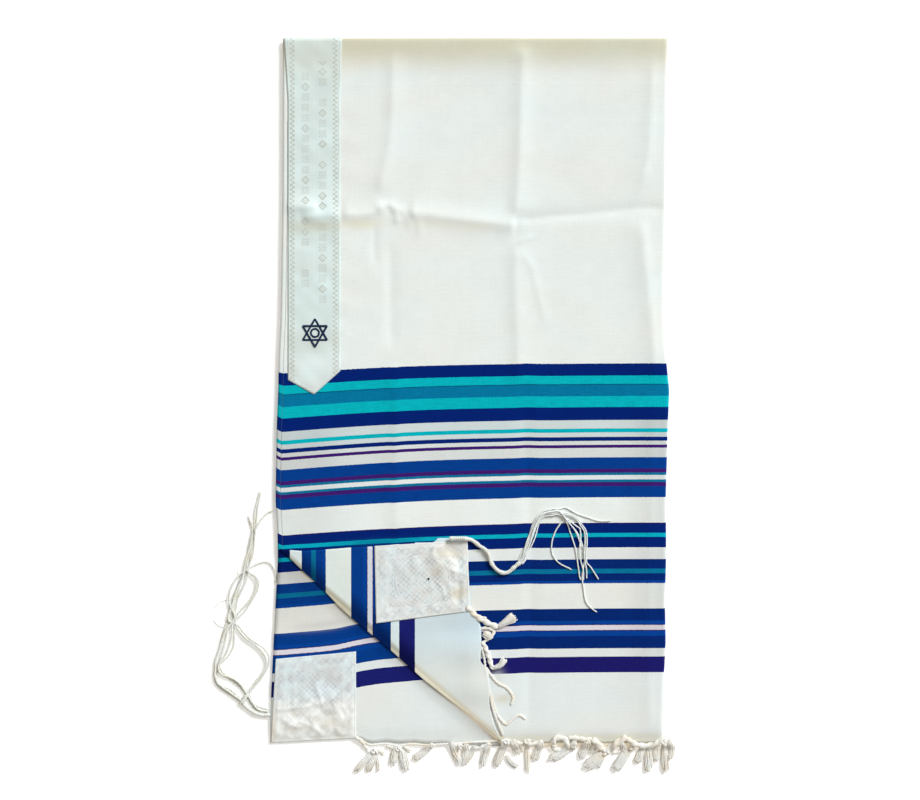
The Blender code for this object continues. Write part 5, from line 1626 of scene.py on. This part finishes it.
# The fringe along each hem: tails (width, route; the fanned ones by number), stems (thickness,
# flatness, route) and knots (width, place).
fringeSet = {
    "strand": 0.002, "every": 0.0018, "ragged": 0.16, "arch": 0.2, "seed": 8,
    "spread": (0.55, 0.45, 0.15),   # at the knot, how much wider beyond it, how much narrower at the end
    "fan": (0.32, 0.68),   # at the knot, and how much wider at the end
    "core": 0.88, "core flatness": 0.36,   # its share of the tail's length and width
    "crowded": 1.25, "inside": 0.86, "sway": 0.1,
    "knot loop": (0.115, 0.115, 0.13), "knot cord": 0.2, "knot high": 0.34,   # shares of its width
    "falls over": 0.01, "flap reach": 0.004, "on flap": 0.001,
}
fringes = {
    "front": {
        "fanned": (),
        "tails": (
            (0.014, (0.0485, -0.4231), (0.0396, -0.4423), (0.0325, -0.4608)),
            (0.0096, (0.0472, -0.4436), (0.0549, -0.4525), (0.0651, -0.4589)),
            (0.0153, (0.0536, -0.4231), (0.06, -0.4334), (0.0638, -0.4448)),
            (0.0083, (0.074, -0.4283), (0.0747, -0.4487), (0.0747, -0.4685)),
            (0.0134, (0.0919, -0.4244), (0.0874, -0.4385), (0.0817, -0.4525)),
            (0.0134, (0.1328, -0.4308), (0.1187, -0.4404), (0.0996, -0.45)),
            (0.0102, (0.1353, -0.4231), (0.1328, -0.4308), (0.1276, -0.4385)),
            (0.0134, (0.1506, -0.4244), (0.1468, -0.4372), (0.1398, -0.4493)),
            (0.0115, (0.1621, -0.4219), (0.1596, -0.4321), (0.1545, -0.4423)),
            (0.0185, (0.1749, -0.4359), (0.1621, -0.4487), (0.1455, -0.4614)),
            (0.0089, (0.1723, -0.4397), (0.1672, -0.4525), (0.1634, -0.4621)),
            (0.016, (0.2068, -0.4334), (0.1953, -0.4487), (0.1832, -0.4653)),
            (0.0102, (0.1953, -0.427), (0.1979, -0.4359), (0.203, -0.4423)),
            (0.0121, (0.2221, -0.4321), (0.2183, -0.4448), (0.2119, -0.4557)),
            (0.014, (0.2285, -0.4321), (0.2298, -0.4487), (0.2272, -0.4653)),
            (0.0102, (0.2374, -0.4295), (0.2387, -0.4423), (0.24, -0.4538)),
            (0.0121, (0.2489, -0.4257), (0.2502, -0.4461), (0.2515, -0.4678)),
            (0.0109, (0.254, -0.4219), (0.2585, -0.4359), (0.2553, -0.4531))),
        "stems": (
            (0.0059, 0.66, (0.0396, -0.4244), (0.0472, -0.4238), (0.0587, -0.4263), (0.0779, -0.4283),
             (0.0945, -0.4251)),
            (0.0084, 0.66, (0.1066, -0.4283), (0.1104, -0.4214), (0.1181, -0.4201), (0.1246, -0.4244),
             (0.1246, -0.4321), (0.1174, -0.4372), (0.1098, -0.4354), (0.1066, -0.4283)),
            (0.007, 0.66, (0.1264, -0.42), (0.1366, -0.4206), (0.1494, -0.4225), (0.157, -0.4219)),
            (0.0102, 0.66, (0.157, -0.4212), (0.1647, -0.4289), (0.1742, -0.4397)),
            (0.0102, 0.66, (0.2017, -0.4187), (0.1889, -0.427), (0.1749, -0.4397)),
            (0.0057, 0.66, (0.1825, -0.4404), (0.1902, -0.4391), (0.1991, -0.434)),
            (0.0083, 0.66, (0.2017, -0.4206), (0.2106, -0.4276), (0.2247, -0.4308), (0.2374, -0.4283),
             (0.2464, -0.4225), (0.2528, -0.4231))),
        "knots": (
            (0.0089, 0.0485, -0.4257), (0.0096, 0.0747, -0.4257), (0.0083, 0.134, -0.4314),
            (0.0083, 0.1519, -0.4257), (0.0109, 0.1742, -0.4391), (0.0089, 0.2081, -0.4327),
            (0.007, 0.2234, -0.4327), (0.0077, 0.2311, -0.4327), (0.0089, 0.2489, -0.427)),
    },
    "under": {
        "fanned": (),
        "tails": (
            (0.0109, (-0.12, -0.4372), (-0.1341, -0.4512), (-0.1468, -0.4678)),
            (0.0109, (-0.1187, -0.441), (-0.1251, -0.4551), (-0.1315, -0.4659)),
            (0.0054, (-0.1175, -0.441), (-0.1162, -0.4551), (-0.1155, -0.4665)),
            (0.0064, (-0.1187, -0.4359), (-0.1124, -0.4391), (-0.1066, -0.4436)),
            (0.0134, (-0.0919, -0.4321), (-0.0958, -0.4448), (-0.0989, -0.4576)),
            (0.014, (-0.0881, -0.4334), (-0.083, -0.45), (-0.0798, -0.4665)),
            (0.0064, (-0.0843, -0.4321), (-0.0779, -0.4365), (-0.0741, -0.441)),
            (0.0115, (-0.046, -0.4283), (-0.0575, -0.4385), (-0.0741, -0.4519)),
            (0.0115, (-0.023, -0.4257), (-0.0179, -0.441), (-0.0089, -0.457)),
            (0.0115, (-0.0038, -0.4283), (-0.0045, -0.4436), (-0.0077, -0.4576)),
            (0.0102, (0.0076, -0.4308), (0.0006, -0.4448), (-0.007, -0.4563)),
            (0.0121, (0.0255, -0.427), (0.0198, -0.4448), (0.0166, -0.4608))),
        "stems": (
            (0.0059, 0.66, (-0.1449, -0.42), (-0.1379, -0.4244), (-0.1315, -0.4334), (-0.1277, -0.4397)),
            (0.0033, 0.66, (-0.1417, -0.4225), (-0.1341, -0.4257), (-0.1264, -0.4295), (-0.1072, -0.4288),
             (-0.0906, -0.4308), (-0.0728, -0.4288), (-0.0536, -0.4298), (-0.0255, -0.4283),
             (0.0013, -0.4267), (0.0268, -0.4252), (0.0459, -0.4231)),
            (0.0064, 0.66, (-0.0255, -0.4283), (-0.0179, -0.4302), (-0.0089, -0.4289)),
            (0.0051, 0.66, (0.0051, -0.4353), (0.014, -0.4334), (0.023, -0.4289)),
            (0.0057, 0.66, (-0.106, -0.4308), (-0.0996, -0.4327), (-0.0919, -0.4346))),
        "knots": (
            (0.0102, -0.1206, -0.4378), (0.0089, -0.09, -0.4353), (0.007, -0.0472, -0.4302),
            (0.0083, -0.0115, -0.4314), (0.007, 0.0255, -0.4295)),
    },
    "turned": {
        "fanned": (0, 2),
        "tails": (
            (0.0179, (0.037, -0.2789), (0.0472, -0.2719), (0.0613, -0.2636)),
            (0.0115, (0.0179, -0.2865), (0.0255, -0.2904), (0.0313, -0.2885)),
            (0.0128, (0.0313, -0.3312), (0.0402, -0.3268), (0.0472, -0.3165))),
        "stems": (
            (0.0084, 0.66, (-0.0026, -0.2521), (0.0089, -0.2642), (0.023, -0.2729), (0.037, -0.2789)),
            (0.0049, 0.66, (0.0147, -0.2808), (0.0217, -0.2799), (0.0294, -0.2821), (0.0314, -0.2869),
             (0.0255, -0.2929), (0.0185, -0.298)),
            (0.0071, 0.66, (0.0166, -0.2968), (0.0223, -0.3082), (0.0259, -0.3185), (0.0294, -0.3306)),
            (0.0043, 0.36, (0.0217, -0.33), (0.0281, -0.3402), (0.037, -0.3504), (0.0485, -0.3568),
             (0.0562, -0.3683), (0.0536, -0.3785)),
            (0.0043, 0.36, (0.0281, -0.3644), (0.0319, -0.3797), (0.0383, -0.3938), (0.0472, -0.4027),
             (0.0549, -0.3963), (0.0638, -0.3912), (0.0728, -0.3963)),
            (0.0033, 0.4, (0.0153, -0.3019), (0.0198, -0.321), (0.0217, -0.3402), (0.0262, -0.3593),
             (0.0294, -0.3785), (0.0357, -0.3976), (0.0434, -0.4168))),
        "knots": ((0.0071, 0.0191, -0.2678), (0.0054, 0.0374, -0.2784), (0.0059, 0.03, -0.3306)),
    },
}
turnedHem = ((0.167, 0.26, 0.29, 0.34, 0.427), (-0.002, 0.0, 0.014, 0.022, 0.044))   # -y, and about its x


def fringeRest(hem, x, y):
    # what the fringe lies on: the cloth inside the hem, then down to the table; or the top layer
    if hem == "turned":
        edge = np.interp(-y, *turnedHem) + fringeSet["flap reach"]
        onFlap = np.clip((edge - x) / fringeSet["falls over"], 0, 1)
        return frontHeight(x, y) + lay["wall"] / 2 + onFlap * (corner["lift"] + fringeSet["on flap"])
    top = (frontHeight(x, y) if hem == "front" else underTop(x, y)) + lay["wall"] / 2
    edge = lay["hem"] if hem == "front" else underHem(x)
    return top * (1 - eased((edge - y) / fringeSet["falls over"]))


def addTail(parts, hem, wide, middle, fans, draw):
    middle = smoothRoute(middle, fringeSet["every"])
    way = wayOf(middle)
    side = np.column_stack([-way[:, 1], way[:, 0]])
    t = np.linspace(0, 1, len(middle))
    narrow, wider, less = fringeSet["spread"]
    spread = narrow + wider * np.sin(np.clip(t * 2, 0, 1) * math.pi / 2) - less * np.clip(t - 0.7, 0, 1) / 0.3
    if fans:
        narrow, wider = fringeSet["fan"]
        spread = narrow + wider * t
    # a soft core keeps the strands from showing the table between them
    filled, flatness = fringeSet["core"], fringeSet["core flatness"]
    short = middle[:max(int(len(middle) * filled), 4)]
    core = wide / 2 * filled * spread[:len(short)] * rounded(len(short), 3.0)
    z = fringeRest(hem, short[:, 0], short[:, 1]) + core * flatness
    addTube(parts, np.column_stack([short, z]), core, sides=12, plies=4, depth=0.12, pitch=0.03,
            flatten=flatness)
    strand = fringeSet["strand"]
    count = max(int(wide / strand * fringeSet["crowded"]), 3)
    for layer in range(2):
        for k in range(count - layer):
            share = (k + 0.5 + layer * 0.5) / count * 2 - 1
            sway = fringeSet["sway"] * np.sin(t * draw.uniform(3, 6) + draw.uniform(0, 6.3))
            flat = middle + side * ((share * fringeSet["inside"] + sway) * wide / 2 * spread)[:, None]
            whole = 1 - fringeSet["ragged"] * draw.uniform(0, 1) - 0.1 * share * share
            stop = max(int(len(flat) * whole), 4)
            flat = flat[:stop]
            arch = (1 - share * share) * wide * fringeSet["arch"]
            arch = arch * np.sin(np.clip(t[:stop] * 2 + 0.4, 0, math.pi / 2))
            radius = strand / 2 * draw.uniform(0.95, 1.2) * rounded(stop, 2.2)
            z = fringeRest(hem, flat[:, 0], flat[:, 1]) + strand * (0.5 + 0.45 * layer) + arch
            addTube(parts, np.column_stack([flat, z]), radius, sides=6, plies=2, depth=0.25, pitch=0.006,
                    phase=draw.uniform(0, 6.3))


def addStem(parts, hem, thick, flatness, route):
    flat = smoothRoute(route, 0.0011)
    z = fringeRest(hem, flat[:, 0], flat[:, 1]) + thick * flatness * 0.48
    addTube(parts, np.column_stack([flat, z]), thick / 2 * rounded(len(flat), 3.0), sides=12, plies=2,
            depth=0.34, pitch=thick * 1.3, flatten=flatness)


def addKnot(parts, hem, wide, x, y, draw):
    # an overhand knot pulled tight
    t = np.linspace(0, 2 * math.pi, 49)
    loop = np.stack([np.sin(t) + 2 * np.sin(2 * t), np.cos(t) - 2 * np.cos(2 * t), -np.sin(3 * t)], -1)
    turn = draw.uniform(0, 6.3)
    cos, sin = math.cos(turn), math.sin(turn)
    loop = loop @ np.array([[cos, -sin, 0], [sin, cos, 0], [0, 0, 1]]) * wide * fringeSet["knot loop"]
    base = float(fringeRest(hem, np.array(x), np.array(y))) + wide * fringeSet["knot high"]
    addTube(parts, loop + (x, y, base), wide * fringeSet["knot cord"], sides=9, plies=2, depth=0.22,
            pitch=0.006)


def makeFringe(hem):
    parts, table = newParts(), fringes[hem]
    draw = np.random.default_rng(fringeSet["seed"])
    for k, (wide, *route) in enumerate(table["tails"]):
        addTail(parts, hem, wide, route, k in table["fanned"], draw)
    for thick, flatness, *route in table["stems"]:
        addStem(parts, hem, thick, flatness, route)
    for wide, x, y in table["knots"]:
        addKnot(parts, hem, wide, x, y, draw)
    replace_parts(finishParts("fringe" + hem.capitalize(), parts, yarn), "fringe_" + hem)


for hem in fringes:
    makeFringe(hem)
print("fringe knotted")


def makeTable():
    half = lightSet["table size"] / 2
    mesh = bpy.data.meshes.new("table")
    corners = [(-half, -half, 0), (half, -half, 0), (half, half, 0), (-half, half, 0)]
    mesh.from_pydata(corners, [], [(0, 1, 2, 3)])
    mesh.materials.append(newMaterial("tableTop", {
        "Roughness": 0.6, "Base Color": (*lightSet["table colour"], 1), "Emission Color": (1, 1, 1, 1),
        "Emission Strength": lightSet["table glow"]})[0])
    table = bpy.data.objects.new("table", mesh)
    bpy.context.scene.collection.objects.link(table)


makeTable()
